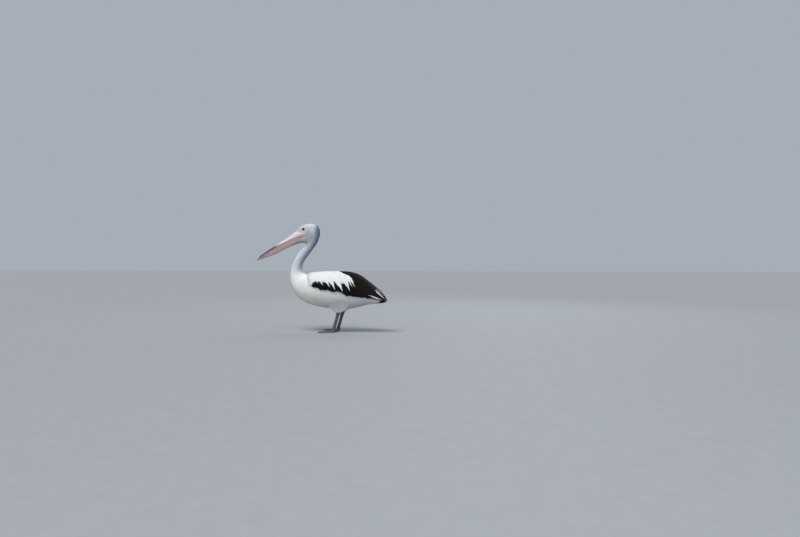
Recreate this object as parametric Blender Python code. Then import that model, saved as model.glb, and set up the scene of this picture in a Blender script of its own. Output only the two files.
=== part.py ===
"""A life-size Australian pelican standing still, with its wings folded and its bill held low.

Metres, +Z up. The bird faces -Y and its left side is +X. The floor is Z = 0, and the origin lies on
it under the middle of the whole length, from the tip of the bill to the tip of the tail.
"""

import math
import random

import bmesh
import bpy
import numpy as np
from mathutils import Matrix, Vector

PARTS, CUTTERS = "pelican", "pelican_cutters"  # collections
GAP = 0.0003  # clearance between pieces that touch
BODY_GAP = 0.0005  # clearance between a wing and the body, whose two sides differ by a hair
FLAT_ANGLE = math.radians(4.5)  # faces that turn less than this count as one plane
EXACT_FLAT_ANGLE = math.radians(0.2)  # the same on a face cut to fit a neighbour
BODY_LENGTH = 1.2  # a little more than the whole bird
CREASE_ANGLE = math.radians(40)  # edges that turn more than this are shaded sharp
SIDES = (("left", 1), ("right", -1))

# Colour and roughness of each part, found by the start of its name.
LOOKS = (
    ("bill_nail", (0.66, 0.60, 0.26), 0.40),
    ("bill", (0.72, 0.50, 0.48), 0.45),
    ("pouch", (0.66, 0.45, 0.42), 0.50),
    ("eye", (0.015, 0.010, 0.008), 0.05),
    ("head", (0.83, 0.82, 0.80), 0.85),
    ("neck", (0.81, 0.80, 0.79), 0.85),
    ("torso", (0.83, 0.81, 0.77), 0.85),
    ("thigh", (0.80, 0.78, 0.74), 0.85),
    ("wing", (0.022, 0.020, 0.020), 0.60),
    ("tail", (0.018, 0.018, 0.020), 0.60),
    ("shank", (0.13, 0.14, 0.17), 0.60),
    ("foot", (0.12, 0.13, 0.16), 0.60),
    ("claw", (0.050, 0.050, 0.055), 0.40),
)

# Body ribs from the forehead down the neck to the root of the tail. Each row is one oval section:
# its point on the back (y, z), its point on the throat or belly (y, z), its half width, the height
# of its widest part as a share of the way up, and its squareness, where 2 is an ellipse.
BODY_RIBS = (
    (-0.183, 0.768, -0.172, 0.737, 0.0150, 0.60, 2.50),
    (-0.160, 0.790, -0.150, 0.716, 0.0240, 0.62, 2.80),
    (-0.131, 0.807, -0.132, 0.700, 0.0285, 0.63, 3.00),
    (-0.101, 0.817, -0.119, 0.687, 0.0310, 0.62, 2.90),
    (-0.070, 0.820, -0.111, 0.676, 0.0325, 0.60, 2.70),
    (-0.041, 0.815, -0.108, 0.668, 0.0330, 0.58, 2.50),
    (-0.018, 0.801, -0.107, 0.663, 0.0325, 0.55, 2.30),
    (-0.004, 0.773, -0.108, 0.659, 0.0310, 0.52, 2.20),
    (-0.001, 0.740, -0.110, 0.655, 0.0300, 0.50, 2.10),
    (-0.009, 0.706, -0.114, 0.651, 0.0290, 0.50, 2.05),
    (-0.024, 0.673, -0.121, 0.645, 0.0285, 0.50, 2.05),
    (-0.045, 0.640, -0.131, 0.638, 0.0280, 0.50, 2.05),
    (-0.069, 0.608, -0.146, 0.625, 0.0275, 0.50, 2.05),
    (-0.094, 0.577, -0.167, 0.601, 0.0280, 0.50, 2.05),
    (-0.117, 0.547, -0.190, 0.567, 0.0290, 0.50, 2.05),
    (-0.134, 0.515, -0.211, 0.529, 0.0310, 0.50, 2.15),
    (-0.141, 0.485, -0.226, 0.488, 0.0350, 0.50, 2.15),
    (-0.138, 0.462, -0.233, 0.444, 0.0430, 0.50, 2.15),
    (-0.128, 0.447, -0.232, 0.399, 0.0560, 0.50, 2.25),
    (-0.113, 0.440, -0.221, 0.351, 0.0710, 0.50, 2.25),
    (-0.092, 0.439, -0.199, 0.304, 0.0850, 0.50, 2.25),
    (-0.064, 0.441, -0.165, 0.261, 0.0970, 0.50, 2.25),
    (-0.027, 0.444, -0.114, 0.224, 0.1060, 0.50, 2.25),
    (0.020, 0.446, -0.045, 0.199, 0.1110, 0.50, 2.25),
    (0.075, 0.447, 0.035, 0.184, 0.1130, 0.50, 2.25),
    (0.135, 0.446, 0.110, 0.175, 0.1120, 0.50, 2.25),
    (0.200, 0.441, 0.185, 0.172, 0.1070, 0.50, 2.25),
    (0.262, 0.424, 0.250, 0.178, 0.0960, 0.50, 2.25),
    (0.320, 0.391, 0.312, 0.192, 0.0800, 0.50, 2.25),
    (0.370, 0.350, 0.370, 0.206, 0.0620, 0.50, 2.25),
    (0.405, 0.316, 0.412, 0.214, 0.0470, 0.50, 2.25),
)
HEAD_END, NECK_UPPER_END, NECK_MIDDLE_END, NECK_LOWER_END = 9.0, 12.0, 15.0, 18.0
BODY_END = len(BODY_RIBS) - 1
HEAD_SIDES, NECK_SIDES, TORSO_SIDES = 20, 18, 24

# The bill, jaw, pouch and tail root have rows of the same kind. This is the upper bill, whose
# rows give a point on its ridge, a point on the mouth line and a half width.
BILL_RIBS = (
    (-0.112, 0.760, -0.104, 0.7345, 0.0305, 0.36, 2.4),
    (-0.142, 0.766, -0.134, 0.7265, 0.0290, 0.28, 2.3),
    (-0.182, 0.765, -0.165, 0.7150, 0.0262, 0.20, 2.2),
    (-0.224, 0.735, -0.208, 0.6995, 0.0232, 0.20, 2.2),
    (-0.279, 0.699, -0.268, 0.6775, 0.0208, 0.20, 2.2),
    (-0.340, 0.663, -0.332, 0.6465, 0.0195, 0.20, 2.2),
    (-0.401, 0.626, -0.394, 0.6135, 0.0195, 0.20, 2.2),
    (-0.455, 0.592, -0.450, 0.5805, 0.0205, 0.20, 2.2),
    (-0.489, 0.570, -0.484, 0.5590, 0.0190, 0.20, 2.2),
    (-0.505, 0.560, -0.501, 0.5490, 0.0140, 0.20, 2.2),
)
# Ridge along the top of the bill: height, depth into the bill, half width, first and last rib.
CULMEN_HEIGHT, CULMEN_DEPTH, CULMEN_HALF_WIDTH = 0.0016, 0.0030, 0.0042
CULMEN_START, CULMEN_END = 0.6, 8.6
# The hooked nail at the bill's tip.
NAIL_RIBS = (
    (-0.505, 0.5600, -0.501, 0.5490, 0.0120, 0.40, 2.0),
    (-0.514, 0.5525, -0.508, 0.5430, 0.0090, 0.40, 2.0),
    (-0.5215, 0.5435, -0.5145, 0.5375, 0.0060, 0.40, 2.0),
    (-0.5250, 0.5335, -0.5205, 0.5310, 0.0025, 0.40, 2.0),
)
# Lower jaw: the strip under the mouth line that carries the pouch.
JAW_RIBS = (
    (-0.104, 0.7375, -0.102, 0.7270, 0.0300, 0.50, 3.0),
    (-0.134, 0.7305, -0.132, 0.7190, 0.0288, 0.50, 3.0),
    (-0.165, 0.7190, -0.162, 0.7075, 0.0258, 0.50, 3.0),
    (-0.208, 0.7030, -0.205, 0.6920, 0.0224, 0.50, 3.0),
    (-0.268, 0.6800, -0.265, 0.6700, 0.0198, 0.50, 3.0),
    (-0.332, 0.6485, -0.329, 0.6390, 0.0182, 0.50, 3.0),
    (-0.394, 0.6150, -0.391, 0.6065, 0.0178, 0.50, 3.0),
    (-0.450, 0.5820, -0.448, 0.5740, 0.0180, 0.50, 3.0),
    (-0.484, 0.5605, -0.482, 0.5532, 0.0150, 0.50, 3.0),
    (-0.500, 0.5490, -0.498, 0.5440, 0.0100, 0.50, 3.0),
)
# The folded pouch that hangs from the jaw.
POUCH_RIBS = (
    (-0.0955, 0.7205, -0.1030, 0.6630, 0.0315, 0.80, 2.4),
    (-0.128, 0.7172, -0.1280, 0.6745, 0.0300, 0.82, 2.4),
    (-0.163, 0.7067, -0.1680, 0.6710, 0.0262, 0.84, 2.3),
    (-0.206, 0.6912, -0.2180, 0.6525, 0.0222, 0.86, 2.2),
    (-0.266, 0.6692, -0.2780, 0.6270, 0.0190, 0.86, 2.2),
    (-0.330, 0.6382, -0.3400, 0.5960, 0.0168, 0.86, 2.2),
    (-0.392, 0.6057, -0.4010, 0.5715, 0.0158, 0.86, 2.2),
    (-0.448, 0.5732, -0.4520, 0.5560, 0.0132, 0.86, 2.2),
    (-0.478, 0.5550, -0.4800, 0.5470, 0.0080, 0.86, 2.2),
)
BILL_SIDES = 16

EYE_RADIUS = 0.0105  # of the ball, of which the front shows
EYE_PLACE = (0.0216, -0.122, 0.7765)
EYE_OUTWARD = (0.96, -0.18, 0.20)  # the way the left eye looks
LID_RADIUS, LID_THICKNESS, LID_HEIGHT = 0.0092, 0.0018, 0.0066  # height out from the ball's middle
NOSTRIL_PLACE = (0.0155, -0.186, 0.7570)
NOSTRIL_SIZE = (0.0016, 0.0060, 0.0012)
CREST_VANES = 6
CREST_SPREAD = math.radians(12)  # turn between neighbouring crest feathers
CREST_LINES = ((5.6, 7.1), (6.5, 8.0))  # ribs at the roots and tips of the upper and lower row
CREST_WIDTH, CREST_THICKNESS = 0.0095, 0.0009
CREST_RISE = ((0, -0.0030), (0.30, 0.0012), (0.70, 0.0024), (1, 0.0042))  # lift from root to tip
CREST_OUTLINE = (0.8, 1, 0.7, 0.1)

# Outer form of the two folded wings: y, top z, low z, half width.
WING_FORM = (
    (-0.105, 0.441, 0.217, 0.1040),
    (-0.070, 0.448, 0.205, 0.1150),
    (-0.030, 0.453, 0.195, 0.1220),
    (0.030, 0.4575, 0.185, 0.1265),
    (0.100, 0.4595, 0.176, 0.1280),
    (0.160, 0.4595, 0.172, 0.1260),
    (0.220, 0.4575, 0.174, 0.1200),
    (0.270, 0.4475, 0.182, 0.1100),
    (0.320, 0.4270, 0.192, 0.0975),
    (0.370, 0.3920, 0.206, 0.0840),
    (0.420, 0.3540, 0.214, 0.0710),
    (0.470, 0.3120, 0.221, 0.0570),
    (0.505, 0.2750, 0.226, 0.0470),
    (0.530, 0.2520, 0.228, 0.0400),
)
WING_SQUARENESS = 2.3
# Degrees round from the middle of the back to the wing's lower edge, at each y.
WING_LOWER_EDGE = (
    (-0.034, 87), (0.100, 91), (0.170, 92), (0.220, 97), (0.260, 104), (0.320, 108), (0.380, 110),
    (0.440, 114), (0.515, 112),
)
WING_TOP_EDGE = ((-0.090, 12), (0.050, 7), (0.200, 4), (0.515, 4))
WING_FRONT = ((0, -0.098), (0.5, -0.074), (1, -0.046))  # y of the front edge, from top to bottom
WING_CORE_REAR = 0.425
WING_FRONT_SINK = 0.012  # depth to which the core's front edge sinks into the body
WING_CORE_THICKNESS = ((0, 0.004), (0.12, 0.030), (0.72, 0.032), (1, 0.012))  # along its length
WING_COVER = 0.0055  # depth of the vanes over the wing's core at its top
WING_TUCK = 0.0045  # how much deeper the core lies at its lower edge

# A vane starts below the core's surface, breaks out of it at its root and rises to its tip. Its
# outline is its width at the buried start and at each station, as a share of its full width.
VANE_STATIONS = (0, 0.45, 0.80, 1.0)
BLUNT = (0.70, 0.90, 1.0, 0.80, 0.22)
LANCE = (0.85, 1.00, 0.80, 0.42, 0.07)
VANE_THICKNESS = 0.0011
VANE_THINNING = 0.45  # share of its thickness that a vane loses towards its tip
VANE_ROOT_LENGTH, VANE_ROOT_DEPTH = 0.010, 0.0040
VANE_RISE = 0.0025
# Tiers of wing feathers: width, outline, tilt of one edge over its neighbour, lift over the core.
PRIMARY = (0.032, BLUNT, 0.05, 0.0)
TERTIAL = (0.032, BLUNT, 0.05, 0.0030)
SECONDARY = (0.031, BLUNT, 0.10, 0.0)
SCAPULAR = (0.032, BLUNT, 0.07, 0.0)
WHITE_LANCE = (0.024, LANCE, 0.06, 0.0)
MANTLE = (0.030, LANCE, 0.06, 0.0)
VARIATION_SEED = 11
LENGTH_VARIATION = 0.0020  # most that a tip lies ahead of or behind its place
# The places of the left wing's feather tips are (y, degrees round from the middle of the back).
# Secondaries, whose tips make the wing's lower edge: y of the first, spacing, count.
SECONDARY_START, SECONDARY_SPACING, SECONDARY_COUNT = 0.024, 0.044, 9
SECONDARY_LENGTH, SECONDARY_TURN = 0.048, 14
# Tips of the long white feathers of the wing panel, each (y, degrees).
WHITE_TIPS = (
    (0.022, 73), (0.058, 78), (0.105, 82), (0.149, 86), (0.184, 87), (0.214, 90), (0.240, 88), (0.262, 88),
    (0.279, 80), (0.296, 76), (0.290, 63), (0.282, 51), (0.250, 40),
)
WHITE_LENGTH, WHITE_TURN = (0.060, 0.032), (6, 23)  # from root to tip, at the top and at the bottom
MANTLE_ROWS = ((0.115, 10, 5), (0.035, 14, 4))  # y of the tips, first degrees, count
MANTLE_LENGTH, MANTLE_SPACING = 0.060, 14
# Rows of the black scapulars and inner flight feathers: y of the tips, degrees of each.
SCAPULAR_ROWS = (
    (0.335, (8, 24, 41, 58, 76)),
    (0.398, (8, 25, 43, 61, 80)),
)
SCAPULAR_LENGTH, SCAPULAR_STAGGER = 0.070, 0.010
TERTIAL_TIPS = ((0.470, 12), (0.474, 34), (0.478, 58), (0.480, 84))
TERTIAL_LENGTH = 0.088
PRIMARY_TIPS = ((0.514, 105), (0.508, 82), (0.500, 58), (0.491, 32))
PRIMARY_ROOT_Y, PRIMARY_ROOT_TURN, PRIMARY_FAN = 0.405, 34, 0.6  # the roots lie closer than the tips
TERTIAL_FAN, SCAPULAR_FAN = 0.96, 0.95

TAIL_BASE_RIBS = (
    (0.405, 0.316, 0.412, 0.214, 0.0470, 0.50, 2.25),
    (0.430, 0.290, 0.437, 0.214, 0.0400, 0.50, 2.25),
    (0.455, 0.258, 0.461, 0.216, 0.0330, 0.50, 2.25),
)
TAIL_FEATHERS = 11
TAIL_ROOT_Y, TAIL_ROOT_Z, TAIL_ROOT_HALF_WIDTH = 0.425, 0.238, 0.020
TAIL_TIP_Y, TAIL_TIP_Z = 0.5245, 0.2345
TAIL_SPREAD = math.radians(15)  # turn of the outermost feather
TAIL_SHORTENING = 0.12  # share by which the outermost feather is shorter
TAIL_ROOT_DROP, TAIL_TIP_DROP = 0.006, 0.011  # how much lower the outermost feather lies
TAIL_STAGGER = 0.0007  # every second feather lies this much higher
TAIL_STATIONS = (0, 0.25, 0.60, 0.85, 1.0)
TAIL_WIDTH, TAIL_THICKNESS, TAIL_TILT = 0.017, 0.0014, -0.12

LEG_X = 0.066
# Feathered thigh and, below it, the bare leg down to the heel: y, z, half width, half length.
THIGH_RIBS = (
    (0.165, 0.250, 0.022, 0.078),
    (0.166, 0.222, 0.025, 0.080),
    (0.167, 0.200, 0.0255, 0.076),
    (0.167, 0.184, 0.0240, 0.066),
    (0.166, 0.172, 0.0210, 0.052),
    (0.165, 0.162, 0.0175, 0.038),
    (0.1645, 0.154, 0.0145, 0.0260),
    (0.1645, 0.150, 0.0120, 0.0190),
)
SHANK_RIBS = (
    (0.1642, 0.1537, 0.0114, 0.0165),
    (0.1630, 0.1450, 0.0114, 0.0165),
    (0.1590, 0.1330, 0.0092, 0.0140),
    (0.1530, 0.1130, 0.0080, 0.0128),
    (0.1420, 0.0750, 0.0078, 0.0124),
    (0.1320, 0.0420, 0.0081, 0.0128),
    (0.1270, 0.0240, 0.0093, 0.0138),
    (0.1255, 0.0120, 0.0098, 0.0142),
)
HEEL_Y, HEEL_Z = 0.125, 0.0085
HEEL_HALF_SIZES = (0.0122, 0.0160, 0.0120)
FOOT_TURN = 8  # degrees that each foot points out
TOES = (  # name, length, degrees in from straight ahead, half width
    ("1", 0.050, 122, 0.0048),
    ("2", 0.088, 32, 0.0056),
    ("3", 0.112, 4, 0.0060),
    ("4", 0.106, -22, 0.0054),
)
TOE_SIDES = 8
# Knuckles of a toe: place along it, then width and height as shares of its half width.
TOE_STATIONS = (
    (0, 1.35, 1.5), (0.16, 1.10, 1.15), (0.34, 1.18, 1.10), (0.47, 0.95, 0.90), (0.62, 1.10, 0.95),
    (0.74, 0.88, 0.80), (0.86, 1.02, 0.82), (1.0, 0.60, 0.55),
)
TOE_FLOOR = 0.75  # height of a toe's middle as a share of its half height, so that it is cut flat
CLAW_LENGTH, CLAW_HALF_WIDTH, CLAW_HALF_HEIGHT = 0.013, 0.0026, 0.0030
CLAW_RISE, CLAW_DROOP = 0.0045, 0.0032
CLAW_STATIONS = ((-0.25, 1.0), (0.30, 0.90), (0.75, 0.50), (1.0, 0.10))  # place, share of its size
WEB_THICKNESS, WEB_UNDERSIDE = 0.0022, 0.0010
WEB_REACH = 0.93  # how far along the toes the web goes
WEB_SCALLOP = 0.86  # how far out its edge comes midway between two toes
WEB_STEPS = 6


def clear_scene():
    for thing in list(bpy.data.objects):
        bpy.data.objects.remove(thing)


def smooth_row(rows, place):
    """The row at a place counted in rows, on a smooth curve through them all."""
    table = np.array(rows, float)
    i = min(max(int(place), 0), len(table) - 2)
    t = place - i
    before, a, b, after = (
        table[max(i - 1, 0)],
        table[i],
        table[i + 1],
        table[min(i + 2, len(table) - 1)],
    )
    return 0.5 * (
        2 * a
        + (b - before) * t
        + (2 * before - 5 * a + 4 * b - after) * t**2
        + (3 * a - before - 3 * b + after) * t**3
    )


def signed_power(value, power):
    return math.copysign(abs(value) ** power, value)


def rib_point(row, turn, lift=0.0):
    """A point of an oval rib. Turn 0 is its back, 90 degrees its left side, 180 its belly."""
    widest, square = row[5], row[6]
    back = Vector((0, row[0], row[1]))
    belly = Vector((0, row[2], row[3]))
    middle = belly.lerp(back, widest)
    arm = back - middle if math.cos(turn) > 0 else middle - belly
    arm = arm * (1 + lift / arm.length)
    across = (row[4] + lift) * signed_power(math.sin(turn), 2 / square)
    return middle + arm * signed_power(math.cos(turn), 2 / square) + Vector((across, 0, 0))


def collection(name):
    found = bpy.data.collections.get(name)
    if not found:
        found = bpy.data.collections.new(name)
        bpy.context.scene.collection.children.link(found)
    return found


def put_in(thing, name):
    for old in list(thing.users_collection):
        old.objects.unlink(thing)
    collection(name).objects.link(thing)
    return thing


def new_object(name, mesh):
    return put_in(bpy.data.objects.new(name, mesh), PARTS)


def as_cutter(thing):
    thing.hide_render = True
    thing.display_type = "WIRE"
    return put_in(thing, CUTTERS)


def loft(name, rings):
    """A closed body through rings of points, with a flat cap at each end."""
    count = len(rings[0])
    points = [p for ring in rings for p in ring]
    faces = [list(range(count))]
    for r in range(len(rings) - 1):
        for i in range(count):
            j = (i + 1) % count
            faces.append((r * count + i, (r + 1) * count + i, (r + 1) * count + j, r * count + j))
    faces.append([(len(rings) - 1) * count + i for i in reversed(range(count))])
    mesh = bpy.data.meshes.new(name)
    mesh.from_pydata([tuple(p) for p in points], [], faces)
    shape = bmesh.new()
    shape.from_mesh(mesh)
    bmesh.ops.recalc_face_normals(shape, faces=shape.faces)
    if shape.calc_volume(signed=True) < 0:
        bmesh.ops.reverse_faces(shape, faces=shape.faces)
    shape.to_mesh(mesh)
    shape.free()
    return new_object(name, mesh)


def ribs_loft(name, rows, start, end, steps, sides, inset=(0, 0)):
    """A loft through a table's ribs from one place to another. Inset moves each end inwards."""
    rings = []
    for k in range(steps + 1):
        row = smooth_row(rows, start + (end - start) * k / steps)
        rings.append([rib_point(row, 2 * math.pi * (i + 0.5) / sides) for i in range(sides)])
    for ring, inner, distance in ((rings[0], rings[1], inset[0]), (rings[-1], rings[-2], inset[1])):
        middle = sum(ring, Vector()) / sides
        heading = sum(inner, Vector()) / sides - middle
        normal = (ring[0] - middle).cross(ring[sides // 4] - middle).normalized()
        shift = normal * math.copysign(distance, normal.dot(heading))
        for point in ring:
            point += shift
    return loft(name, rings)


def give_material(thing):
    """The part's own material, in the colour that LOOKS gives for its name."""
    colour, roughness = next(look[1:] for look in LOOKS if thing.name.startswith(look[0]))
    material = bpy.data.materials.new(thing.name + "_surface")
    material.use_nodes = True
    shader = material.node_tree.nodes["Principled BSDF"]
    shader.inputs["Base Color"].default_value = (*colour, 1)
    shader.inputs["Roughness"].default_value = roughness
    shader.inputs["Metallic"].default_value = 0.0
    thing.data.materials.append(material)


def applied(thing):
    """Replaces an object's mesh with the one its modifiers make."""
    graph = bpy.context.evaluated_depsgraph_get()
    made = bpy.data.meshes.new_from_object(thing.evaluated_get(graph))
    thing.modifiers.clear()
    thing.data = made
    return thing


def keep_largest(thing):
    """Drops every loose scrap and sealed hollow, so that one closed surface is left."""
    shape = bmesh.new()
    shape.from_mesh(thing.data)
    bmesh.ops.triangulate(shape, faces=shape.faces)
    unseen = set(shape.faces)
    largest = set()
    while unseen:
        group = {unseen.pop()}
        front = list(group)
        while front:
            face = front.pop()
            for edge in face.edges:
                for other in edge.link_faces:
                    if other in unseen:
                        unseen.discard(other)
                        group.add(other)
                        front.append(other)
        if sum(f.calc_area() for f in group) > sum(f.calc_area() for f in largest):
            largest = group
    bmesh.ops.delete(shape, geom=[f for f in shape.faces if f not in largest], context="FACES")
    shape.to_mesh(thing.data)
    shape.free()
    return thing


def merge_flat_faces(thing, angle=FLAT_ANGLE):
    """Merges faces that lie in one plane, which a union leaves split, and splits them afresh."""
    shape = bmesh.new()
    shape.from_mesh(thing.data)
    bmesh.ops.dissolve_limit(shape, angle_limit=angle, verts=shape.verts, edges=shape.edges)
    bmesh.ops.triangulate(shape, faces=shape.faces)
    shape.to_mesh(thing.data)
    shape.free()
    return thing


def join_pieces(base, pieces):
    """Fuses closed pieces into base with one Boolean union, and removes them."""
    group = bpy.data.collections.new(base.name + "_pieces")
    bpy.context.scene.collection.children.link(group)
    for piece in pieces:
        group.objects.link(piece)
    union = base.modifiers.new("join", "BOOLEAN")
    union.operation = "UNION"
    union.operand_type = "COLLECTION"
    union.collection = group
    union.solver = "MANIFOLD"
    applied(base)
    for piece in pieces:
        bpy.data.objects.remove(piece)
    bpy.data.collections.remove(group)
    keep_largest(base)
    return merge_flat_faces(base)


def inflated(thing, distance):
    """A copy swollen by the distance, for cutting a neighbour clear of it."""
    copy = as_cutter(new_object(thing.name + "_clearance", thing.data.copy()))
    shape = bmesh.new()
    shape.from_mesh(copy.data)
    shape.normal_update()
    for vertex, normal in [(v, v.normal.copy()) for v in shape.verts]:
        flare = max(0.4, min((f.normal.dot(normal) for f in vertex.link_faces), default=1))
        vertex.co += normal * distance / flare
    shape.to_mesh(copy.data)
    shape.free()
    return copy


def cut_away(thing, cutter):
    cut = thing.modifiers.new("cut", "BOOLEAN")
    cut.operation = "DIFFERENCE"
    cut.object = cutter
    cut.solver = "MANIFOLD"
    applied(thing)
    bpy.data.objects.remove(cutter)


def cut_clear(thing, neighbours, distance=GAP):
    """Cuts an object clear of its neighbours by the distance."""
    for neighbour in neighbours:
        cut_away(thing, inflated(neighbour, distance))
    return merge_flat_faces(keep_largest(thing), EXACT_FLAT_ANGLE)


def right_half():
    """A cutter for all that lies right of the middle plane, and the gap beside it."""
    bpy.ops.mesh.primitive_cube_add(size=BODY_LENGTH)
    cutter = bpy.context.object
    cutter.data.transform(Matrix.Translation((GAP - BODY_LENGTH / 2, 0, 0)))
    return as_cutter(cutter)


def trimmed(thing, point, normal):
    """Cuts off what lies on the normal's side of a plane, and closes the cut."""
    shape = bmesh.new()
    shape.from_mesh(thing.data)
    found = bmesh.ops.bisect_plane(
        shape,
        geom=shape.verts[:] + shape.edges[:] + shape.faces[:],
        plane_co=point,
        plane_no=normal,
        clear_outer=True,
    )
    rim = [e for e in found["geom_cut"] if isinstance(e, bmesh.types.BMEdge)]
    bmesh.ops.triangle_fill(shape, edges=rim, use_beauty=True, normal=normal)
    shape.to_mesh(thing.data)
    shape.free()
    return thing


def mirrored(thing, name):
    """The same shape on the right side."""
    mesh = thing.data.copy()
    mesh.transform(Matrix.Diagonal((-1, 1, 1, 1)))
    mesh.flip_normals()
    return new_object(name, mesh)


def finish(thing, base):
    """Shades a part smooth, sets its origin at its middle and hangs it on the base empty."""
    give_material(thing)
    put_in(thing, PARTS)
    thing.data.shade_smooth()
    thing.data.set_sharp_from_angle(angle=CREASE_ANGLE)
    middle = sum((Vector(corner) for corner in thing.bound_box), Vector()) / 8
    thing.data.transform(Matrix.Translation(-middle))
    thing.location = middle
    thing.parent = base


def along(pairs, value):
    """Reads a value off a line drawn through pairs of numbers."""
    return float(np.interp(value, [p[0] for p in pairs], [p[1] for p in pairs]))


def wing_point(y, turn, lift=0.0):
    """A point of the folded wings' outer form, turned round from the middle of the back."""
    place = along([(row[0], i) for i, row in enumerate(WING_FORM)], y)
    _, top, low, half_width = smooth_row(WING_FORM, place)
    across = (half_width + lift) * signed_power(math.sin(turn), 2 / WING_SQUARENESS)
    rise = ((top - low) / 2 + lift) * signed_power(math.cos(turn), 2 / WING_SQUARENESS)
    return Vector((across, y, (top + low) / 2 + rise))


def wing_edges(y):
    return math.radians(along(WING_TOP_EDGE, y)), math.radians(along(WING_LOWER_EDGE, y))


def core_lift(y, turn):
    """Depth of the wing core's surface under the outer form, as a lift."""
    top, low = wing_edges(y)
    return -WING_COVER - WING_TUCK * min(max((turn - top) / (low - top), 0), 1) ** 2


def wing_core(sides=8, steps=11):
    """The folded arm and the bases of its feathers, from the shoulder to behind the thigh."""
    rings = []
    for k in range(steps + 1):
        u = k / steps
        outer, inner = [], []
        for j in range(sides):
            v = j / (sides - 1)
            y = along(WING_FRONT, v) * (1 - u) + WING_CORE_REAR * u
            top, low = wing_edges(y)
            turn = top + (low - top) * v
            lift = core_lift(y, turn) - WING_FRONT_SINK * (u == 0)
            thickness = along(WING_CORE_THICKNESS, u)
            outer.append(wing_point(y, turn, lift))
            inner.append(wing_point(y, turn, lift - thickness))
        rings.append(outer + inner[::-1])
    return rings


def vane(middles, outwards, width, outline, thickness=VANE_THICKNESS, tilt=0.0):
    """A flat tapered feather through its middle points. Tilt lifts one edge over its neighbour."""
    rings = []
    for k, (middle, out) in enumerate(zip(middles, outwards)):
        ahead = middles[min(k + 1, len(middles) - 1)] - middles[max(k - 1, 0)]
        side = ahead.cross(out).normalized()
        up = side.cross(ahead).normalized()
        half = width * outline[k] / 2
        thick = thickness * (1 - VANE_THINNING * k / (len(middles) - 1)) / 2
        edges = [middle + side * half + up * tilt * half, middle - side * half - up * tilt * half]
        rings.append(
            [edges[0] + up * thick, edges[1] + up * thick, edges[1] - up * thick, edges[0] - up * thick]
        )
    return loft("vane", rings)


def wing_vane(root, tip, tier):
    """A vane laid over the wing's core from root to tip, each (y, degrees)."""
    width, outline, tilt, base = tier
    clear = tilt * width / 2 + VANE_THICKNESS / 2 + GAP + base
    start, end = wing_point(root[0], math.radians(root[1])), wing_point(tip[0], math.radians(tip[1]))
    before = -VANE_ROOT_LENGTH / (end - start).length
    middles, outwards = [], []
    for f in (before,) + VANE_STATIONS:
        y = root[0] + (tip[0] - root[0]) * f
        turn = math.radians(root[1] + (tip[1] - root[1]) * f)
        lift = core_lift(y, turn) + (clear + VANE_RISE * f if f >= 0 else -VANE_ROOT_DEPTH)
        middles.append(wing_point(y, turn, lift))
        outwards.append(wing_point(y, turn, lift + GAP) - middles[-1])
    return vane(middles, outwards, width, outline, tilt=tilt)


def wing_vanes():
    """All the vanes of the left wing, from the lowest tier to the highest."""
    chance = random.Random(VARIATION_SEED)
    pieces = []

    def add(root, tip, tier):
        y = tip[0] + chance.uniform(-LENGTH_VARIATION, LENGTH_VARIATION)
        pieces.append(wing_vane(root, (y, tip[1]), tier))

    for y, turn in PRIMARY_TIPS:
        add((PRIMARY_ROOT_Y, PRIMARY_ROOT_TURN + turn * PRIMARY_FAN), (y, turn), PRIMARY)
    for y, turn in TERTIAL_TIPS:
        add((y - TERTIAL_LENGTH, turn * TERTIAL_FAN), (y, turn), TERTIAL)
    for k in range(SECONDARY_COUNT):
        y = SECONDARY_START + SECONDARY_SPACING * k
        turn = along(WING_LOWER_EDGE, y) + 2
        add((y - SECONDARY_LENGTH, turn - SECONDARY_TURN), (y, turn), SECONDARY)
    for y, turns in SCAPULAR_ROWS[::-1]:
        for k, turn in enumerate(turns):
            add((y - SCAPULAR_LENGTH, turn * SCAPULAR_FAN), (y + SCAPULAR_STAGGER * (k % 2), turn), SCAPULAR)
    for y, turn in WHITE_TIPS:
        lower = min(max((turn - 30) / 50, 0), 1)  # the lower ones point further down
        length = WHITE_LENGTH[0] + (WHITE_LENGTH[1] - WHITE_LENGTH[0]) * lower
        around = WHITE_TURN[0] + (WHITE_TURN[1] - WHITE_TURN[0]) * lower
        add((y - length, turn - around), (y, turn), WHITE_LANCE)
    for y, first, count in MANTLE_ROWS:
        for k in range(count):
            turn = first + MANTLE_SPACING * k
            add((y - MANTLE_LENGTH, turn - 3), (y, turn), MANTLE)
    return pieces


def tail_vanes():
    """The tail's fan, its outer feathers lower and shorter than the middle ones."""
    pieces = []
    for k in range(TAIL_FEATHERS):
        across = 2 * k / (TAIL_FEATHERS - 1) - 1
        angle = TAIL_SPREAD * across
        length = (TAIL_TIP_Y - TAIL_ROOT_Y) * (1 - TAIL_SHORTENING * across**2)
        root_z = TAIL_ROOT_Z - TAIL_ROOT_DROP * across**2
        root = Vector((TAIL_ROOT_HALF_WIDTH * across, TAIL_ROOT_Y, root_z))
        tip = root + Vector((math.sin(angle), math.cos(angle), 0)) * length
        tip.z = TAIL_TIP_Z - TAIL_TIP_DROP * across**2 + TAIL_STAGGER * (k % 2)
        outward = Vector((math.sin(angle * 1.6), 0, math.cos(angle * 1.6)))
        middles = [root.lerp(tip, f) for f in TAIL_STATIONS]
        outwards = [outward] * len(middles)
        pieces.append(vane(middles, outwards, TAIL_WIDTH, BLUNT, TAIL_THICKNESS, TAIL_TILT))
    return pieces


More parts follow.
